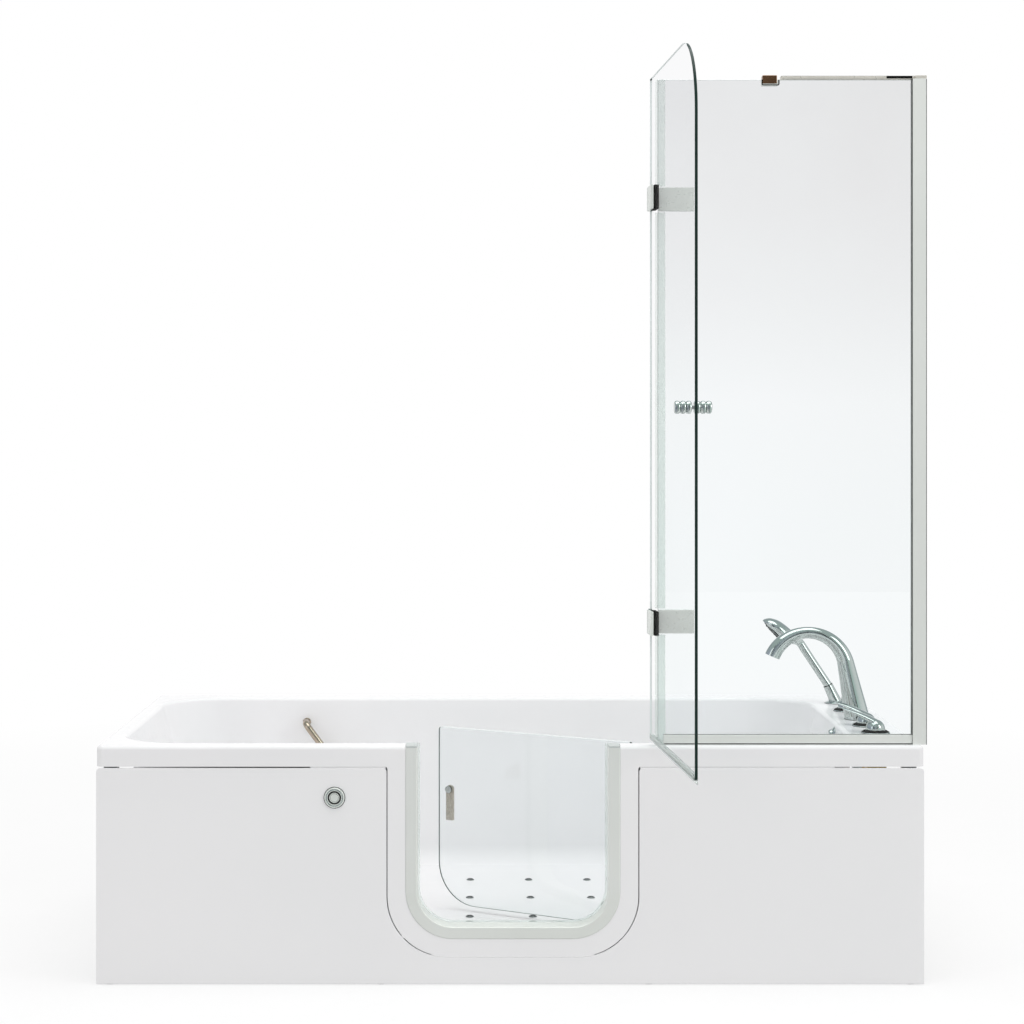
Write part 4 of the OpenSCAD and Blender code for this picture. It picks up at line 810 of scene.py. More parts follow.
def flangeOutline():
    x0, x1 = door["left"] - tub["flangeSide"], door["right"] + tub["flangeSide"]
    low = door["low"] - tub["flangeLow"]
    r = door["round"] + (tub["flangeSide"] + tub["flangeLow"]) / 2 - 12
    top = tub["rim"] - tub["apron"]
    c = tub["innerCorner"]
    points = arc(x0 - c, top - c, c, 90, 0, 5)
    points += arc(x0 + r, low + r, r, 180, 270, 18)
    points += arc(x1 - r, low + r, r, 270, 360, 18)
    points += arc(x1 + c, top - c, c, 180, 90, 5)
    return points


def buildShell():
    rings = shellRings()
    count = len(rings[0])
    points = [p for ring in rings for p in ring]
    faces = []
    sideFirst = shellSteps["corner"]
    sideLast = sideFirst + shellSteps["side"]
    for i in range(len(rings) - 1):
        for j in range(count):
            k = (j + 1) % count
            if i == 0 and sideFirst <= j < sideLast:
                continue
            faces.append((i * count + j, i * count + k, (i + 1) * count + k, (i + 1) * count + j))
    flange = flangeOutline()
    first = len(points)
    points += [(x, frontY, z) for x, z in flange]
    bottom = [sideFirst] + list(range(first, first + len(flange))) + [sideLast]
    top = [count + j for j in range(sideLast, sideFirst - 1, -1)]
    faces.append(tuple(bottom + top))
    faces.append(tuple((len(rings) - 1) * count + j for j in range(count)))
    mesh = bpy.data.meshes.new("tubShell")
    mesh.from_pydata(place(points), [], faces)

    def finishShell(bm):
        bmesh.ops.delete(bm, geom=[v for v in bm.verts if not v.link_faces], context="VERTS")
        weld(bm)
        faceOut(bm)
        lowest = min(bm.faces, key=lambda f: f.calc_center_median().z if abs(f.normal.z) > 0.9 else 9)
        if lowest.normal.z < 0:
            bmesh.ops.reverse_faces(bm, faces=bm.faces)
    thing = addObject("tubShell", reshape(mesh, finishShell))

    thick = thing.modifiers.new("thick", "SOLIDIFY")
    thick.thickness = tub["thickness"] * mm
    thick.offset = -1
    thick.use_even_offset = True
    bakeModifiers(thing)
    lowEdge = (tub["rim"] - tub["apron"]) * mm
    bevelMesh(thing.data, 1.3, 2, 50, lambda e: all(
        abs(v.co.y - frontY * mm) < 1e-5 or (abs(v.co.z - lowEdge) < 1e-5 and (
            abs(abs(v.co.x) - halfLength * mm) < 0.016 or abs(v.co.y) > 0.44)) for v in e.verts)
        and min(v.co.z for v in e.verts) < lowEdge + 1e-4)
    cutter = extrudeOutline("cutter", uOutline(lining["grow"], lining["cutTop"]), frontY - innerFront - 20,
                            frameAt((0, frontY - 18, 0), *facingFront))
    cutAway(thing, cutter)
    y0, y1 = frontY + lining["inset"], innerFront - lining["inset"]
    top = tub["rim"] - lining["drop"]
    walls = zip(uOutline(lining["grow"], top), uOutline(lining["grow"] + lining["thickness"], top))
    strip = [[(xa, y0, za), (xb, y0, zb), (xb, y1, zb), (xa, y1, za)] for (xa, za), (xb, zb) in walls]
    thing.data = joinMeshes("tubShell", [thing.data, loftMesh("lining", strip)])
    return weightNormals(thing, 38)


shell = dress(buildShell(), "tub", "acrylic", "acrylic", "tub_shell")
panelLook = {"low": 2, "top": 479, "thickness": 5, "gap": 42, "lowGap": 41, "round": 134.5, "corner": 9,
             "returnDepth": 30, "returnInset": (2.5, 6, 10), "hole": [-388, 414, 19.2], "edge": 2.4}


def panelOutline():
    x0, x1 = -halfLength, halfLength
    low, top, c = panelLook["low"], panelLook["top"], panelLook["corner"]
    left, right = door["left"] - panelLook["gap"], door["right"] + panelLook["gap"]
    r = panelLook["round"]
    floorOfU = door["low"] - panelLook["lowGap"]
    points = arc(x0 + 2, low + 2, 2, 180, 270, 3) + arc(x1 - 2, low + 2, 2, 270, 360, 3)
    points += arc(x1 - c, top - c, c, 0, 90, 6) + arc(right + c, top - c, c, 90, 180, 6)
    points += arc(right - r, floorOfU + r, r, 0, -90, 20) + arc(left + r, floorOfU + r, r, -90, -180, 20)
    points += arc(left - c, top - c, c, 0, 90, 6) + arc(x0 + c, top - c, c, 90, 180, 6)
    return points


def buildPanel():
    thick, inset = panelLook["thickness"], panelLook["returnInset"]
    mesh = slab("frontPanel", panelOutline(), frontY, thick)
    thing = addObject("frontPanel", bevelMesh(mesh, panelLook["edge"], 3, 50))
    x, z, r = panelLook["hole"]
    cutAway(thing, latheMesh("hole", [(0, -20), (r, -20), (r, 20), (0, 20)], 48,
                             frameAt((x, frontY, z), *facingFront)))
    parts = [thing.data]
    for x in (-halfLength, halfLength - thick):
        outline = rounded(frontY + inset[0], frontY + panelLook["returnDepth"], panelLook["low"] + inset[1],
                          panelLook["top"] - inset[2], [2] * 4, 3)
        strip = extrudeOutline("return", outline, thick, frameAt((x, 0, 0), (1, 0, 0), (0, 1, 0)))
        parts.append(bevelMesh(strip, 0.8, 2, 50))
    thing.data = joinMeshes("frontPanel", parts)
    return weightNormals(thing, 30)


dress(buildPanel(), "tub", "acrylic", "acrylic", "front_panel")
reveal = {"spans": ((-442, door["left"] - 44), (door["right"] + 44, 717)), "low": 475.5, "high": 484,
          "front": 2.6, "back": 6}
strips = [bevelMesh(slab("reveal", rectangle(*ends, reveal["low"], reveal["high"]), frontY + reveal["front"],
                         reveal["back"] - reveal["front"]), 0.8, 3, 50) for ends in reveal["spans"]]
dress(joined("revealStrips", strips), "tub", "acrylic", "acrylic")
print("stage: shell and front panel", len(shell.data.polygons))


# doorway frame, seal and floor jets

doorFrameLook = {"frontRound": 2.6, "backRound": 1, "capHeight": 4}


def sweepSection(name, section, top):
    steps = 20
    turns = [180] + [180 + 90 * i / steps for i in range(steps + 1)]
    turns += [270 + 90 * i / steps for i in range(steps + 1)] + [360]
    rings = []
    for (x, z), turn in zip(uOutline(0, top, steps), turns):
        nx, nz = math.cos(math.radians(turn)), math.sin(math.radians(turn))
        rings.append([(x + nx * u, v, z + nz * u) for u, v in section])
    return addObject(name, loftMesh(name, rings))


def frameSection():
    f, b = doorFrameLook["frontRound"], doorFrameLook["backRound"]
    y0, y1 = frontY - door["proud"], innerFront
    w = door["band"]
    return (arc(-w + f, y0 + f, f, 180, 270, 5) + arc(-f, y0 + f, f, 270, 360, 5)
            + arc(-b, y1 - b, b, 0, 90, 3) + arc(-w + b, y1 - b, b, 90, 180, 3))


capBottom, capGap = tub["rim"] - doorFrameLook["capHeight"], 0.4
doorFrame = weightNormals(sweepSection("doorFrame", frameSection(), capBottom), 30)
dress(doorFrame, "tub", "satin", "satin", "door_frame")
caps = []
w, d = door["band"] / 2 - capGap, (innerFront - frontY + door["proud"]) / 2 - capGap
for x in (door["left"] + door["band"] / 2, door["right"] - door["band"] / 2):
    cap = extrudeOutline("cap", rounded(-w, w, -d, d, [2.4] * 4, 5), doorFrameLook["capHeight"],
                         frameAt((x, (frontY - door["proud"] + innerFront) / 2, capBottom), *facingUp))
    caps.append(bevelMesh(cap, 0.8, 2, 50))
dress(joined("doorFrameCaps", caps), "tub", "rubber", "gasket")
sealSection = [(u, innerFront + v) for u, v in (
    (-13, 0), (-30, 0), (-30.2, 2), (-29.2, 4.2), (-27.6, 4.6), (-26, 3), (-20, 3.4), (-14.2, 4.4),
    (-13, 3.6))]
doorSeal = weightNormals(sweepSection("doorSeal", sealSection, tub["rim"] - 1), 40)
dress(doorSeal, "tub", "seal", "seal", "door_seal")

jets = {"pitchX": 146, "pitchY": 203, "x": 55, "y": -31, "radius": 9.5, "slots": 6}
jetSpots = [(jets["x"] + i * jets["pitchX"], jets["y"] + j * jets["pitchY"], tub["floor"])
            for i in (-1, 0, 1) for j in (-1, 0, 1)]
jetProfile = [(7, 0.1), (jets["radius"], 0.1), (jets["radius"], 1.2), (6.8, 3), (6.2, 3), (6.2, 1.5),
              (7, 0.1)]
jetRing = latheMesh("jetRing", roundProfile(jetProfile, 0.4, 3), 40)
dress(scatter("jetRings", jetRing, jetSpots, (0, 0, 0), "jet"), "tub", "chrome", None, "air_jets")
core = [latheMesh("jetCore", [(0, 1.4), (6.25, 1.2), (6.25, -5), (0, -5)], 36)]
for i in range(jets["slots"]):
    turned = Matrix.Rotation(math.radians(60 * i), 4, "Z") @ Matrix.Translation((0, 0, 1.3))
    core.append(extrudeOutline("spoke", [(1.4, -0.5), (6.1, -0.8), (6.1, 0.8), (1.4, 0.5)], 1.2, turned))
core.append(latheMesh("hub", roundProfile([(0, 2.7), (1.9, 2.7), (1.9, 1)], 0.5, 3), 24))
jetCores = scatter("jetCores", joinMeshes("jetCore", core), jetSpots, (0, 0, 0), "dark", 1.0, 11)
dress(jetCores, "tub", "chrome", None)
print("stage: doorway and jets")


# glass panes

def pane(name, outline, depth, matrix, finish="glass", arris=0.7):
    mesh = extrudeOutline(name, outline, depth, matrix)
    bevelMesh(mesh, arris, 1, 50)
    thing = weightNormals(addObject(name, mesh), 30)
    thing.data.materials.clear()
    for key in (finish, "glassEdge", "paleEdge"):
        thing.data.materials.append(materials[key])
    axis = (matrix.to_3x3() @ Vector((0, 0, 1))).normalized()
    # upward and back-facing edge faces take the pale finish, a painted highlight; the others take the
    # near-black green finish, painted shade over the glass's own green edge
    for face in thing.data.polygons:
        if abs(face.normal.dot(axis)) > 0.96:
            face.material_index = 0
        else:
            onArris = abs(face.normal.dot(axis)) > 0.5
            onTop = face.normal.z > (0.65 if onArris else 0.97)
            behind = face.normal.y > (0.6 if onArris else 0.9) or face.normal.x < -0.97
            face.material_index = 2 if onTop or behind else 1
    return thing


doorPose = {"x": 285, "y": -398, "turn": -30.5, "thickness": 8, "free": -520, "hinge": -12, "low": 112,
            "top": 527, "round": 98, "hingeRound": 49}


# a turned pane's own directions, along it and through it to the back
def directions(degrees):
    c, s = math.cos(math.radians(degrees)), math.sin(math.radians(degrees))
    return Vector((c, s, 0)), Vector((-s, c, 0))


doorAlong, doorBack = directions(doorPose["turn"])
doorFrameAt = frameAt(Vector((doorPose["x"], doorPose["y"], 0)) + doorBack * doorPose["thickness"] / 2,
                      -doorBack, doorAlong)
doorOutline = rounded(doorPose["free"], doorPose["hinge"], doorPose["low"], doorPose["top"],
                      [doorPose["round"], doorPose["hingeRound"], 8, 8])
dress(pane("doorGlass", doorOutline, doorPose["thickness"], doorFrameAt), "tub_door", "glass", None,
      "door_glass")

screen = {"y": -424, "top": 2004, "fixedX": 330, "fixedEnd": 905, "low": 535, "thickness": 6,
          "swingX": 312.5, "swingWidth": 588, "swingLow": 542, "swingInset": 10, "rest": 94.2, "round": 155,
          "notch": 16, "hinges": (800, 1738), "plateHalf": 26, "railTop": 549, "railIn": 342,
          "profileIn": 893, "profileOut": 924, "profileFace": -438, "railFace": -434}


# a pane's outline with the hinge notches cut into the edge at x = edge
def notched(base, edge, notchShape):
    out = []
    for p, q in zip(base, base[1:] + base[:1]):
        out.append(p)
        if abs(p[0] - edge) < 0.01 and abs(q[0] - edge) < 0.01 and abs(p[1] - q[1]) > 300:
            up = q[1] > p[1]
            for z in sorted(screen["hinges"], reverse=not up):
                if min(p[1], q[1]) < z < max(p[1], q[1]):
                    out += [(edge + u, z + v) for u, v in (notchShape if up else notchShape[::-1])]
    return out


h, cut = screen["notch"], screen["plateHalf"] + 1
fixedOutline = notched(rounded(screen["fixedX"], screen["fixedEnd"], screen["low"], screen["top"],
                               [1, 1, 1, 1]), screen["fixedX"], [(0, -h), (30, -h), (30, h), (0, h)])
fixedGlass = pane("fixedGlass", fixedOutline, screen["thickness"],
                  frameAt((0, screen["y"] + screen["thickness"] / 2, 0), *facingFront))
dress(fixedGlass, "tub", "glass", None, "fixed_glass")
print("stage: panes")


# swinging half of the screen, drawn closed in the CAD's frame and turned

swingAlong, swingBack = directions(screen["rest"])


def swingMatrix(offset):
    return frameAt(Vector((screen["swingX"], screen["y"], 0)) + swingBack * offset, -swingBack, swingAlong)


swingOutline = notched(
    rounded(-screen["swingWidth"], -screen["swingInset"], screen["swingLow"], screen["top"],
            [6, 6, 6, screen["round"]], 16), -screen["swingInset"],
    [(0, -cut), (-5, -cut), (-5, -h), (-28, -h), (-28, h), (-5, h), (-5, cut), (0, cut)])
swingGlass = pane("screenDoorGlass", swingOutline, screen["thickness"],
                  swingMatrix(screen["thickness"] / 2), "swingGlass")
dress(swingGlass, "screen_door", "glass", None, "screen_door_glass")


# satin profile, rail and gasket

softPiece("wall_profile", "tub", "satin", "satin", 0.9)
softPiece("bottom_rail", "tub", "satin", "satin", 1.2, 3)
gaskets = [extrudeOutline("gasket", rounded(x0, 901, y0, y1, [0.8] * 4, 4),
                          screen["top"] - screen["railTop"], frameAt((0, 0, screen["railTop"]), *facingUp))
           for x0, y0, y1 in ((891.3, -435.5, -427), (896, -421, -412.5))]
dress(joined("glazingGasket", gaskets), "tub", "rubber", "dark", "glazing_gasket")
softPiece("edge_seal", "tub", "seal", "seal", 0.3, 1)
softPiece("bottom_seal", "screen_door", "seal", "seal", 0.4)
softPiece("brace_bracket", "tub", "chrome", "bar", 1.2, 3)
braceBar = softPiece("brace_bar", "tub", "chrome", "bar", 1.6, 3)
# the bar's upward faces take the dark finish: painted shade along its top
braceBar.data.materials.append(materials["dark"])
for face in braceBar.data.polygons:
    face.material_index = 1 if face.normal.z > 0.5 else face.material_index
clamp = {"left": 558, "right": 598, "low": 1990, "high": 2013, "front": -434, "body": (560, 592.5, 1994),
         "split": 2003, "deep": 20, "rimInset": 1.3, "rimRadius": 1.25}
# the chrome clamp body is coloured brown, a painted reflection
clampBody = slab("clampBody", rectangle(*clamp["body"], clamp["high"]), clamp["front"], clamp["deep"])
dress(joined("clampBody", [bevelMesh(clampBody, 1.6, 3)]), "tub", "chrome", "bronze", "brace_clamp")
clipOutline = rounded(clamp["left"] + 0.4, clamp["right"] - 0.4, clamp["low"] + 0.4, clamp["split"],
                      [3, 3, 1, 1], 6)
clampClip = bevelMesh(slab("clampClip", clipOutline, clamp["front"] + 0.7, 18.6), 0.8, 2, 50)
dress(joined("clampClip", [clampClip]), "tub", "chrome", "plate")
rimLeft, rimRight, rimLow = (clamp["left"] + clamp["rimInset"], clamp["right"] - clamp["rimInset"],
                             clamp["low"] + clamp["rimInset"])
clampEdge = [(x, clamp["front"] + 0.5, z) for x, z in (
    (rimLeft, clamp["split"]), (rimLeft, rimLow), (rimRight, rimLow), (rimRight, clamp["split"]))]
dress(pipe("clampEdge", clampEdge, clamp["rimRadius"], 3, "black", 16), "tub", "rubber", None)
# a black sleeve on the brace bar's end: a painted dark reflection
braceReflectionEnd = {"across": (835, 893, 2005.6, 2011.8), "y": -433, "deep": 18, "proud": 0.5}
braceSleeve = slab("braceSleeve", rectangle(*braceReflectionEnd["across"]), braceReflectionEnd["y"] - braceReflectionEnd["proud"],
                   braceReflectionEnd["deep"] + 2 * braceReflectionEnd["proud"])
dress(joined("braceSleeve", [bevelMesh(braceSleeve, 1.4, 3)]), "tub", "chrome", "black")

# thin dark beads: a glazing gasket on top of the rail, and painted shadow lines under the rail and along the
# wall profile's outer side
beadAndShadowSpots = (((screen["railIn"], screen["profileIn"], 528.1, 530.4), screen["railFace"] - 0.4, 1.2),
             ((screen["railIn"], screen["profileIn"], screen["railTop"] - 0.5, screen["railTop"] + 0.9),
              -430.4, 3.2),
             ((screen["profileOut"] - 1.4, screen["profileOut"] - 0.1, 528.2, screen["top"]),
              screen["profileFace"] - 0.4, 1.6))
beadsAndShadowLines = [bevelMesh(slab("bead", rectangle(*across), y, deep), 0.3) for across, y, deep in beadAndShadowSpots]
dress(joined("screenBeads", beadsAndShadowLines), "tub", "rubber", "dark")


# screen hinges with their screws

softPiece("screen_hinge_plates", "tub", "chrome", "plate", 1, 3)
softPiece("screen_hinge_pins", "tub", "chrome", "chrome", 0.6)
softPiece("door_hinge_plates", "screen_door", "chrome", "plate", 1, 3)
screws = {"radius": 4.6, "height": 1.6, "socket": 2.1, "pitch": 15, "inset": 40}


def screwMesh(radius, height, socket):
    profile = roundProfile([(0, height * 0.55), (socket, height * 0.55), (socket, height), (radius, height),
                            (radius, -0.4), (0, -0.4)], height * 0.22, 3)
    return latheMesh("screw", profile, 28)


screwFoot = (Vector((screen["swingX"], screen["y"], 0)) - swingAlong * screws["inset"]
             + swingBack * (-screen["thickness"] / 2 - 6))
swingSpots = [(screwFoot.x, screwFoot.y, z + s * screws["pitch"]) for z in screen["hinges"] for s in (-1, 1)]
swingScrews = scatter("swingHingeScrews", screwMesh(screws["radius"], screws["height"], screws["socket"]),
                      swingSpots, (math.radians(90), 0, math.radians(screen["rest"])), "steel")
dress(swingScrews, "screen_door", "chrome", None)
# black pads at the hinge plates: part pad, part painted shade standing for the plates' shaded front ends
pad = {"from": -62.6, "to": -13.5, "near": -0.5, "out": -10.6, "half": 26.4}
pads = [bevelMesh(extrudeOutline("pad", rectangle(pad["from"], pad["to"], z - pad["half"], z + pad["half"]),
                                 pad["near"] - pad["out"], swingMatrix(pad["near"])), 0.7)
        for z in screen["hinges"]]
dress(joined("hingePads", pads), "screen_door", "rubber", "black")


# ribbed knobs

knob = {"z": 1269, "inset": 40, "radius": 13, "length": 34, "lobes": 3}


def knobProfile():
    half = screen["thickness"] / 2
    lobe = knob["length"] / knob["lobes"]
    outline = [(0, half + knob["length"]), (knob["radius"] - 3.2, half + knob["length"])]
    for i in range(knob["lobes"], 0, -1):
        mid = half + (i - 0.5) * lobe
        for s in range(9):
            a = math.radians(-90 + 180 * s / 8)
            outline.append((knob["radius"] - 2.6 + 2.6 * math.cos(a), mid - (lobe / 2 - 0.5) * math.sin(a)))
        outline.append((knob["radius"] - 3.4, half + (i - 1) * lobe + 0.1))
    outline.append((4, half + 0.1))
    outline.append((0, half + 0.1))
    return outline


knobAt = (Vector((screen["swingX"], screen["y"], knob["z"]))
          + swingAlong * (knob["inset"] - screen["swingWidth"]))
knobParts = [latheMesh("knobHalf", knobProfile(), 40, frameAt(knobAt, side * swingBack, swingAlong))
             for side in (-1, 1)]
dress(joined("screenKnobs", knobParts, 50), "screen_door", "chrome", "chrome", "screen_knobs")
softPiece("knob_bolt", "screen_door", "steel", "steel", 0.4, 1)
print("stage: screen")


# tub door fittings, waste, air, steel work and pipes: the CAD's own shapes

for piece in (("hinge_leaves", "tub_door", "nickel", "nickel", 0.9, 3),
              ("hinge_bolts", "tub_door", "chrome", "chrome", 0.5),
              ("hinge_brackets", "tub", "nickel", "nickel", 0.8, 3),
              ("hinge_pins", "tub", "chrome", "chrome", 0.5),
              ("inner_wall_screws", "tub", "chrome", "steel", 0.3),
              ("latch_lever", "door_latch", "nickel", "nickel", 1.2, 3),
              ("latch_pivot", "tub_door", "chrome", "chrome", 0.5),
              ("latch_keeper", "tub", "nickel", "nickel", 0.7),
              ("button_nut", "tub", "plastic", "plastic", 0.8),
              ("drain_flange", "tub", "chrome", "chrome", 0.5),
              ("drain_stopper", "stopper", "chrome", "chrome", 0.6),
              ("drain_shoe", "tub", "brass", "brass", 0.8),
              ("overflow_plate", "tub", "chrome", "chrome", 0.5),
              ("overflow_knob", "overflow_control", "chrome", "chrome", 0.5),
              ("overflow_pipe", "tub", "plastic", "pipe", 0.6),
              ("air_channel", "tub", "plastic", "pipe", 1.5),
              ("air_pipe", "tub", "plastic", "pipe", 0.8),
              ("air_blower", "tub", "rubber", "rubber", 1.5),
              ("support_frame", "tub", "steel", "steel", 1.4),
              ("panel_clips", "tub", "steel", "steel", 0.8),
              ("foot_stems", "tub", "steel", "steel", 0.6),
              ("foot_pads", "tub", "rubber", "rubber", 1),
              ("spout_shank", "tub", "brass", "brass", 1),
              ("valve_bodies", "tub", "brass", "brass", 1),
              ("cross_pipes", "tub", "brass", "brass", 0.5),
              ("tap_escutcheons", "tub", "chrome", "chrome", 0.7, 3),
              ("shower_holder", "tub", "chrome", "chrome", 0.8, 3)):
    softPiece(*piece)
print("stage: fittings and hidden works")


# push control: turned rings whose front faces carry pale and dark bands by their distance from the middle,
# painted reflections on the chrome
control = {"x": -388, "z": 414, "sides": 72,
           "bezel": [(14.9, -9), (18.8, -9), (18.8, 0.05), (24, 0.05), (24, 1.4), (22.4, 3.4), (21, 5),
                     (19.2, 5), (18.9, 4.3), (18, 3.9), (17.1, 4.3), (16.8, 5), (15.6, 5), (14.9, 4.2),
                     (14.9, -9)],
           "button": [(0, -25), (5.9, -25), (5.9, -7), (13.4, -7), (13.4, 3.4), (12.9, 4), (11.3, 4),
                      (10.9, 3.2), (10, 3), (9.1, 3.2), (8.8, 3.9), (5, 3.6), (0, 3.4)],
           "bezelReflectionBands": [(22.3, "dark"), (19.3, "plate"), (16.7, "chrome"), (0, "plate")],
           "buttonBands": [(11.2, "dark"), (9.2, "plate"), (8.6, "nozzle"), (0, "plate")]}
controlAt = frameAt((control["x"], frontY, control["z"]), (0, -1, 0), (1, 0, 0))


def turnedRings(name, profile, reflectionBands):
    thing = addObject(name, latheMesh(name, roundProfile(profile, 0.3, 2), control["sides"], controlAt))
    keys = ["chrome", "dark", "plate", "nozzle"]
    for key in keys:
        thing.data.materials.append(materials[key])
    for face in thing.data.polygons:
        away = math.hypot(face.center.x / mm - control["x"], face.center.z / mm - control["z"])
        key = next(k for limit, k in reflectionBands if away >= limit)
        face.material_index = keys.index(key) if face.normal.y < -0.2 else 0
    return weightNormals(thing, 30)


bezel = turnedRings("buttonBezel", control["bezel"], control["bezelReflectionBands"])
dress(bezel, "tub", "chrome", None, "button_bezel")
button = turnedRings("airButton", control["button"], control["buttonBands"])
dress(button, "push_button", "chrome", None, "air_button")


# grab bar as a tube along a path

bar = {"x": -520, "z": 466, "length": 300, "slope": 53, "radius": 8.5, "standOff": 45, "bend": 15.5,
       "collar": 2, "collarHeight": 6}
slope = math.radians(bar["slope"])
barY, wallY = innerBack - bar["standOff"], innerBack - 5
barEnds = ((bar["x"], bar["z"]), (bar["x"] + bar["length"] * math.cos(slope),
                                  bar["z"] - bar["length"] * math.sin(slope)))
(x0, z0), (x1, z1) = barEnds
path = [(x0, wallY, z0), (x0, barY, z0), (x1, barY, z1), (x1, wallY, z1)]
dress(pipe("grabBar", path, bar["radius"], bar["bend"], "polished", 40), "tub", "nickel", None, "grab_bar")
wide, high = bar["radius"] + bar["collar"], bar["collarHeight"]
flangeProfile = roundProfile([(0, 0), (wide, 0), (wide, high), (0, high)], 1.2, 4)
flanges = [latheMesh("flange", flangeProfile, 56, frameAt((x, innerBack, z), *facingFront))
           for x, z in barEnds]
dress(joined("grabBarFlanges", flanges, 40), "tub", "nickel", "polished", "grab_bar_flanges")
print("stage: push control and grab bar")


# taps

taps = {"x": 844, "spoutY": -15, "coldY": -133, "hotY": -251, "diverterY": 137, "showerY": 289,
        "leverZ": 535.3, "leverTurn": 155, "diverterTurn": 262, "domeRadius": 22, "domeHeight": 24,
        "domeFoot": 2, "leverLength": 78, "leverRise": 22, "rootWide": 32, "rootThick": 13, "tipThick": 4,
        "voxel": 0.95, "smooth": 3, "lift": 0.35}
spoutLook = {"leg": 137, "lean": 11.7, "bend": 93.5, "end": 157, "foot": 61, "crown": 28, "mouth": 37,
             "waist": 0.7, "rings": 60, "sides": 64, "lip": 2.2, "recess": 5}


def spoutTurn(d):
    return spoutLook["lean"] + math.degrees(max(d - spoutLook["leg"], 0) / spoutLook["bend"])


def spoutPoint(d):
    lean = math.radians(spoutLook["lean"])
    if d < spoutLook["leg"]:
        return Vector((-d * math.sin(lean), 0, d * math.cos(lean)))
    a = math.radians(spoutTurn(d))
    cx = -spoutLook["leg"] * math.sin(lean) - spoutLook["bend"] * math.cos(lean)
    cz = spoutLook["leg"] * math.cos(lean) - spoutLook["bend"] * math.sin(lean)
    return Vector((cx + spoutLook["bend"] * math.cos(a), 0, cz + spoutLook["bend"] * math.sin(a)))


def spoutThick(u):
    if u < spoutLook["waist"]:
        swell = (1 - max(u, 0) / spoutLook["waist"]) ** 1.3
        return spoutLook["crown"] + (spoutLook["foot"] - spoutLook["crown"]) * swell
    t = (u - spoutLook["waist"]) / (1 - spoutLook["waist"])
    return spoutLook["crown"] + (spoutLook["mouth"] - spoutLook["crown"]) * t * t * (3 - 2 * t)


def ovalAt(centre, leanDegrees, thick, wide, sides):
    a = math.radians(leanDegrees)
    across = Vector((math.cos(a), 0, math.sin(a)))
    return [centre + across * (-thick / 2 * math.cos(t)) + Vector((0, wide / 2 * math.sin(t), 0))
            for t in turnsOf(sides)]


spoutBase = Vector((taps["x"], taps["spoutY"], tub["rim"]))
spoutTotal = spoutLook["leg"] + spoutLook["bend"] * math.radians(spoutLook["end"] - spoutLook["lean"])
mouthAlong = Vector((-math.sin(math.radians(spoutLook["end"])), 0, math.cos(math.radians(spoutLook["end"]))))


def buildSpout():
    steps, sides, lip = spoutLook["rings"], spoutLook["sides"], spoutLook["lip"]
    foot = spoutThick(0) / 2
    rings = [[Vector((foot * 1.02 * -math.cos(t), foot * math.sin(t), z)) for t in turnsOf(sides)]
             for z in (0, 1.2)]
    for i in range(2, steps + 1):
        d, thick = i / steps * spoutTotal, spoutThick(i / steps)
        rings.append(ovalAt(spoutPoint(d), spoutTurn(d) * min(1, i / 6), thick, thick, sides))
    for inset, deep in ((0.5, -0.5), (1.4, -0.1), (lip, 0.9), (lip + 0.3, spoutLook["recess"])):
        size = spoutThick(1) - 2 * inset
        rings.append(ovalAt(spoutPoint(spoutTotal) - mouthAlong * deep, spoutLook["end"], size, size, sides))
    placed = [[spoutBase + p for p in ring] for ring in rings]
    return weightNormals(addObject("spout", loftMesh("spout", placed)), 32)


dress(buildSpout(), "tub", "chrome", "chrome", "spout")
aeratorAt = frameAt(spoutBase + spoutPoint(spoutTotal), mouthAlong, (0, 1, 0))
insert = [latheMesh("insert", roundProfile([(0, -3.4), (5, -3.6), (13.6, -3.2), (14.4, -1.6), (15.6, -1.6),
                                            (15.9, -4.9), (0, -4.9)], 0.6, 3), 48, aeratorAt)]
for radius, count in ((4, 6), (8, 12), (11.4, 18)):
    for a in turnsOf(count):
        local = Matrix.Translation((radius * math.cos(a), radius * math.sin(a), -3.6))
        insert.append(latheMesh("pip", [(0, 0.9), (0.7, 0.7), (1.0, 0), (1.0, -0.5)], 10, aeratorAt @ local))
dress(joined("spoutAerator", insert, 40), "tub", "nozzle", "dark", "spout_aerator")

# dark rings on the tap cones, painted shade in the gap under each lever and painted dark reflection on the
# escutcheon tops, and under each foot a gasket line with painted contact shadow
tapShadeLook = {"inner": 22.6, "outer": 31.6, "lift": 0.25, "coneTop": 7, "coneFrom": 24, "coneFall": 5 / 9,
            "leverBase": 33.3, "showerBase": 30.3, "baseWidth": 3, "baseHeight": 0.9}
inner, outer, lift = tapShadeLook["inner"], tapShadeLook["outer"], tapShadeLook["lift"]
coneLow = tapShadeLook["coneTop"] - (outer - tapShadeLook["coneFrom"]) * tapShadeLook["coneFall"]
coneShadeRing = [(inner, 6.6), (inner, 7.1), (tapShadeLook["coneFrom"], tapShadeLook["coneTop"] + lift),
            (outer, coneLow + lift), (outer, coneLow - 0.3), (inner, 6.6)]
leverRows = (taps["hotY"], taps["coldY"], taps["diverterY"])
rings = [(y, coneShadeRing) for y in leverRows]
for y, radius in [(y, tapShadeLook["leverBase"]) for y in leverRows] + [
        (taps["showerY"], tapShadeLook["showerBase"]), (taps["spoutY"], spoutLook["foot"] / 2 + 1.2)]:
    base = rectangle(radius - tapShadeLook["baseWidth"], radius, 0.05, tapShadeLook["baseHeight"])
    rings.append((y, base + base[:1]))
tapShadeRings = [latheMesh("seal", profile, 64, Matrix.Translation((taps["x"], y, tub["rim"])))
         for y, profile in rings]
dress(joined("tapSeals", tapShadeRings, 30), "tub", "rubber", "black")


def leverTop(u):
    return taps["domeHeight"] + 1 + taps["leverRise"] * (1.55 * u - 0.55 * u * u)


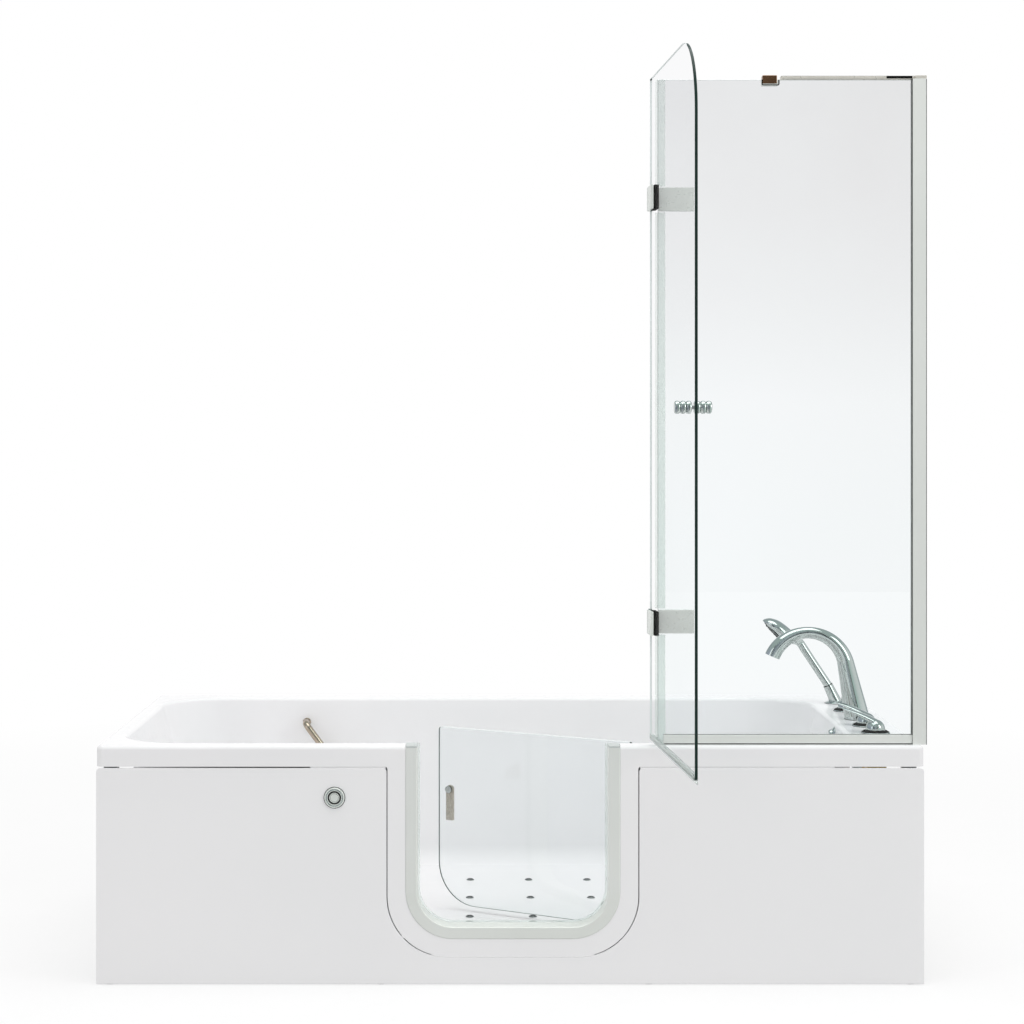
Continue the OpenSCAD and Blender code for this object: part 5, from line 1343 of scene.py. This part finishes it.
def leverMesh(name):
    low, high = taps["domeFoot"], taps["domeHeight"]
    quarter = [math.radians(i * 90 / 16) for i in range(16)]
    dome = [(0, 0), (taps["domeRadius"], 0)]
    dome += [(taps["domeRadius"] * math.cos(a), low + (high - low) * math.sin(a)) for a in quarter]
    dome.append((0, high))
    rings = []
    steps = 26
    for i in range(steps + 1):
        u = i / steps
        thick = taps["rootThick"] + (taps["tipThick"] - taps["rootThick"]) * u
        wide = taps["rootWide"] - 14 * u - 8 * u ** 6
        if i == steps:
            thick, wide = 2.4, 5
        slopeHere = math.atan(taps["leverRise"] * (1.55 - 1.1 * u) / taps["leverLength"])
        centre = leverTop(u) - thick / 2
        rings.append([(u * taps["leverLength"] - math.sin(slopeHere) * thick / 2 * math.sin(t),
                       wide / 2 * math.cos(t), centre + math.cos(slopeHere) * thick / 2 * math.sin(t))
                      for t in turnsOf(40)])
    thing = melt(name, [latheMesh("dome", dome, 64), loftMesh("arm", rings)], taps["voxel"], taps["smooth"])
    for vertex in thing.data.vertices:
        vertex.co.z = max(vertex.co.z, taps["lift"] * mm)
    shade(thing.data, 60)
    return thing


for name, source, body, y, turn in (
        ("hotLever", "hot_lever", "hot_tap", taps["hotY"], taps["leverTurn"]),
        ("coldLever", "cold_lever", "cold_tap", taps["coldY"], taps["leverTurn"]),
        ("diverterLever", "diverter_lever", "diverter", taps["diverterY"], taps["diverterTurn"])):
    lever = leverMesh(name)
    lever.data.transform(Matrix.Translation(Vector((taps["x"], y, taps["leverZ"])) * mm)
                         @ Matrix.Rotation(math.radians(turn), 4, "Z"))
    dress(lever, body, "chrome", "chrome", source)
print("stage: spout and levers")


# hand shower in its holder

wand = {"holderLean": 25.3, "holderHeight": 52, "handleLean": 33.5, "faceLean": 43.2, "diameter": 21,
        "length": 127, "headLength": 102, "headWidth": 66, "headThick": 42, "gap": 0.3}

headShape = [[0, 0, 0.5, 0.32], [0.11, 0.056, 0.64, 0.5], [0.2, 0.146, 0.9, 0.72], [0.4, 0.218, 1, 0.94],
             [0.58, 0.26, 0.94, 1], [0.76, 0.313, 0.82, 0.92], [0.91, 0.386, 0.59, 0.66],
             [0.97, 0.425, 0.36, 0.4], [1, 0.45, 0.1, 0.1]]


def turnY(degrees):
    return Matrix.Rotation(math.radians(degrees), 4, "Y")


holderMatrix = Matrix.Translation((taps["x"], taps["showerY"], tub["rim"])) @ turnY(-wand["holderLean"])
wandMatrix = (holderMatrix @ Matrix.Translation((0, 0, wand["holderHeight"] + wand["gap"]))
              @ turnY(wand["holderLean"] - wand["handleLean"]))
faceMatrix = (wandMatrix @ Matrix.Translation((-0.455 * wand["headLength"], 0,
                                               wand["length"] + 0.55 * wand["headLength"]))
              @ turnY(wand["handleLean"] - wand["faceLean"] - 90))


# a smooth line through rows of numbers, with as many steps for each gap as counts says
def throughRows(rows, counts):
    out = []
    for i, steps in enumerate(counts):
        near = (rows[max(i - 1, 0)], rows[i], rows[i + 1], rows[min(i + 2, len(rows) - 1)])
        for s in range(steps):
            t = s / steps
            out.append([0.5 * ((2 * b) + (c - a) * t + (2 * a - 5 * b + 4 * c - d) * t * t
                               + (3 * b - a - 3 * c + d) * t ** 3) for a, b, c, d in zip(*near)])
    return out + [list(rows[-1])]


def buildWand():
    turn = wand["faceLean"] - wand["handleLean"]
    wide, long, head = wand["diameter"], wand["length"], wand["headLength"]
    keys = [(0, 0, wide, wide, wand["holderLean"] - wand["handleLean"]), (0, 16, wide, wide, 0),
            (0, long / 2, wide * 0.98, wide, 0), (0, long * 0.85, wide, wide, 0)]
    keys += [(-p[1] * head, long + p[0] * head, p[2] * wand["headThick"], p[3] * wand["headWidth"],
              min(p[0] * 5, 1) * turn) for p in headShape]
    rings = [[wandMatrix @ p for p in ovalAt(Vector((x, 0, z)), lean, max(thick, 1), max(across, 1), 48)]
             for x, z, thick, across, lean in throughRows(keys, [5] * 3 + [6] * (len(keys) - 4))]
    thing = addObject("handShower", loftMesh("handShower", rings))
    box = [faceMatrix @ Vector((x, y, z)) for x in (-70, 70) for y in (-60, 60) for z in (-5.5, 60)]
    cutAway(thing, meshFrom("cutter", box, [(0, 1, 3, 2), (4, 6, 7, 5), (0, 4, 5, 1), (2, 3, 7, 6),
                                            (0, 2, 6, 4), (1, 5, 7, 3)]))
    bevelMesh(thing.data, 1.1, 3, 40)
    low, high = wand["holderHeight"] - 34, wand["holderHeight"] + 2
    peg = latheMesh("peg", roundProfile([(0, low), (8, low), (8, high), (0, high)], 1, 3), 40, holderMatrix)
    thing.data = joinMeshes("handShower", [thing.data, peg])
    return weightNormals(thing, 36)


dress(buildWand(), "shower_wand", "chrome", "chrome", "hand_shower")


def onFace(across, along, z, count):
    return [faceMatrix @ Vector((across * math.cos(t), along * math.sin(t), z)) for t in turnsOf(count)]


faceAcross, faceAlong = wand["headLength"] * 0.37, wand["headWidth"] * 0.41
rings = [onFace(faceAcross + grow, faceAlong + grow, z, 56) for grow, z in (
    (0.2, -7), (0.2, -5.9), (0, -5), (-0.8, -4.6), (-1.6, -4.9), (-2.4, -5.3), (-3.4, -5.3))]
sprayPlate = weightNormals(addObject("sprayPlate", loftMesh("sprayPlate", rings)), 50)
dress(sprayPlate, "shower_wand", "plastic", "nozzle", "spray_face")
dotSpots = []
for share, count in ((0.2, 5), (0.42, 10), (0.64, 16), (0.85, 22)):
    dotSpots += onFace(wand["headLength"] * 0.34 * share, wand["headWidth"] * 0.37 * share, -5.4, count)
dots = scatter("sprayNozzles", latheMesh("dot", [(0, 3), (0.8, 3), (1.3, 2.2), (1.6, 0), (1.6, -0.6)], 12),
               dotSpots, tuple(faceMatrix.to_euler()), "dark")
dress(dots, "shower_wand", "nozzle", None)
top = wand["holderHeight"]
seat = latheMesh("holderSeat", [(9.5, top - 1.9), (12.35, top - 1.9), (12.2, top - 0.1), (9.5, top - 0.1),
                                (9.5, top - 1.9)], 48, holderMatrix)
dress(joined("holderSeat", [seat], 30), "tub", "rubber", "black")
print("stage: hand shower")

left = sorted(n for n, o in nodes.items() if not o.hide_render)
print("nodes still shown:", left)
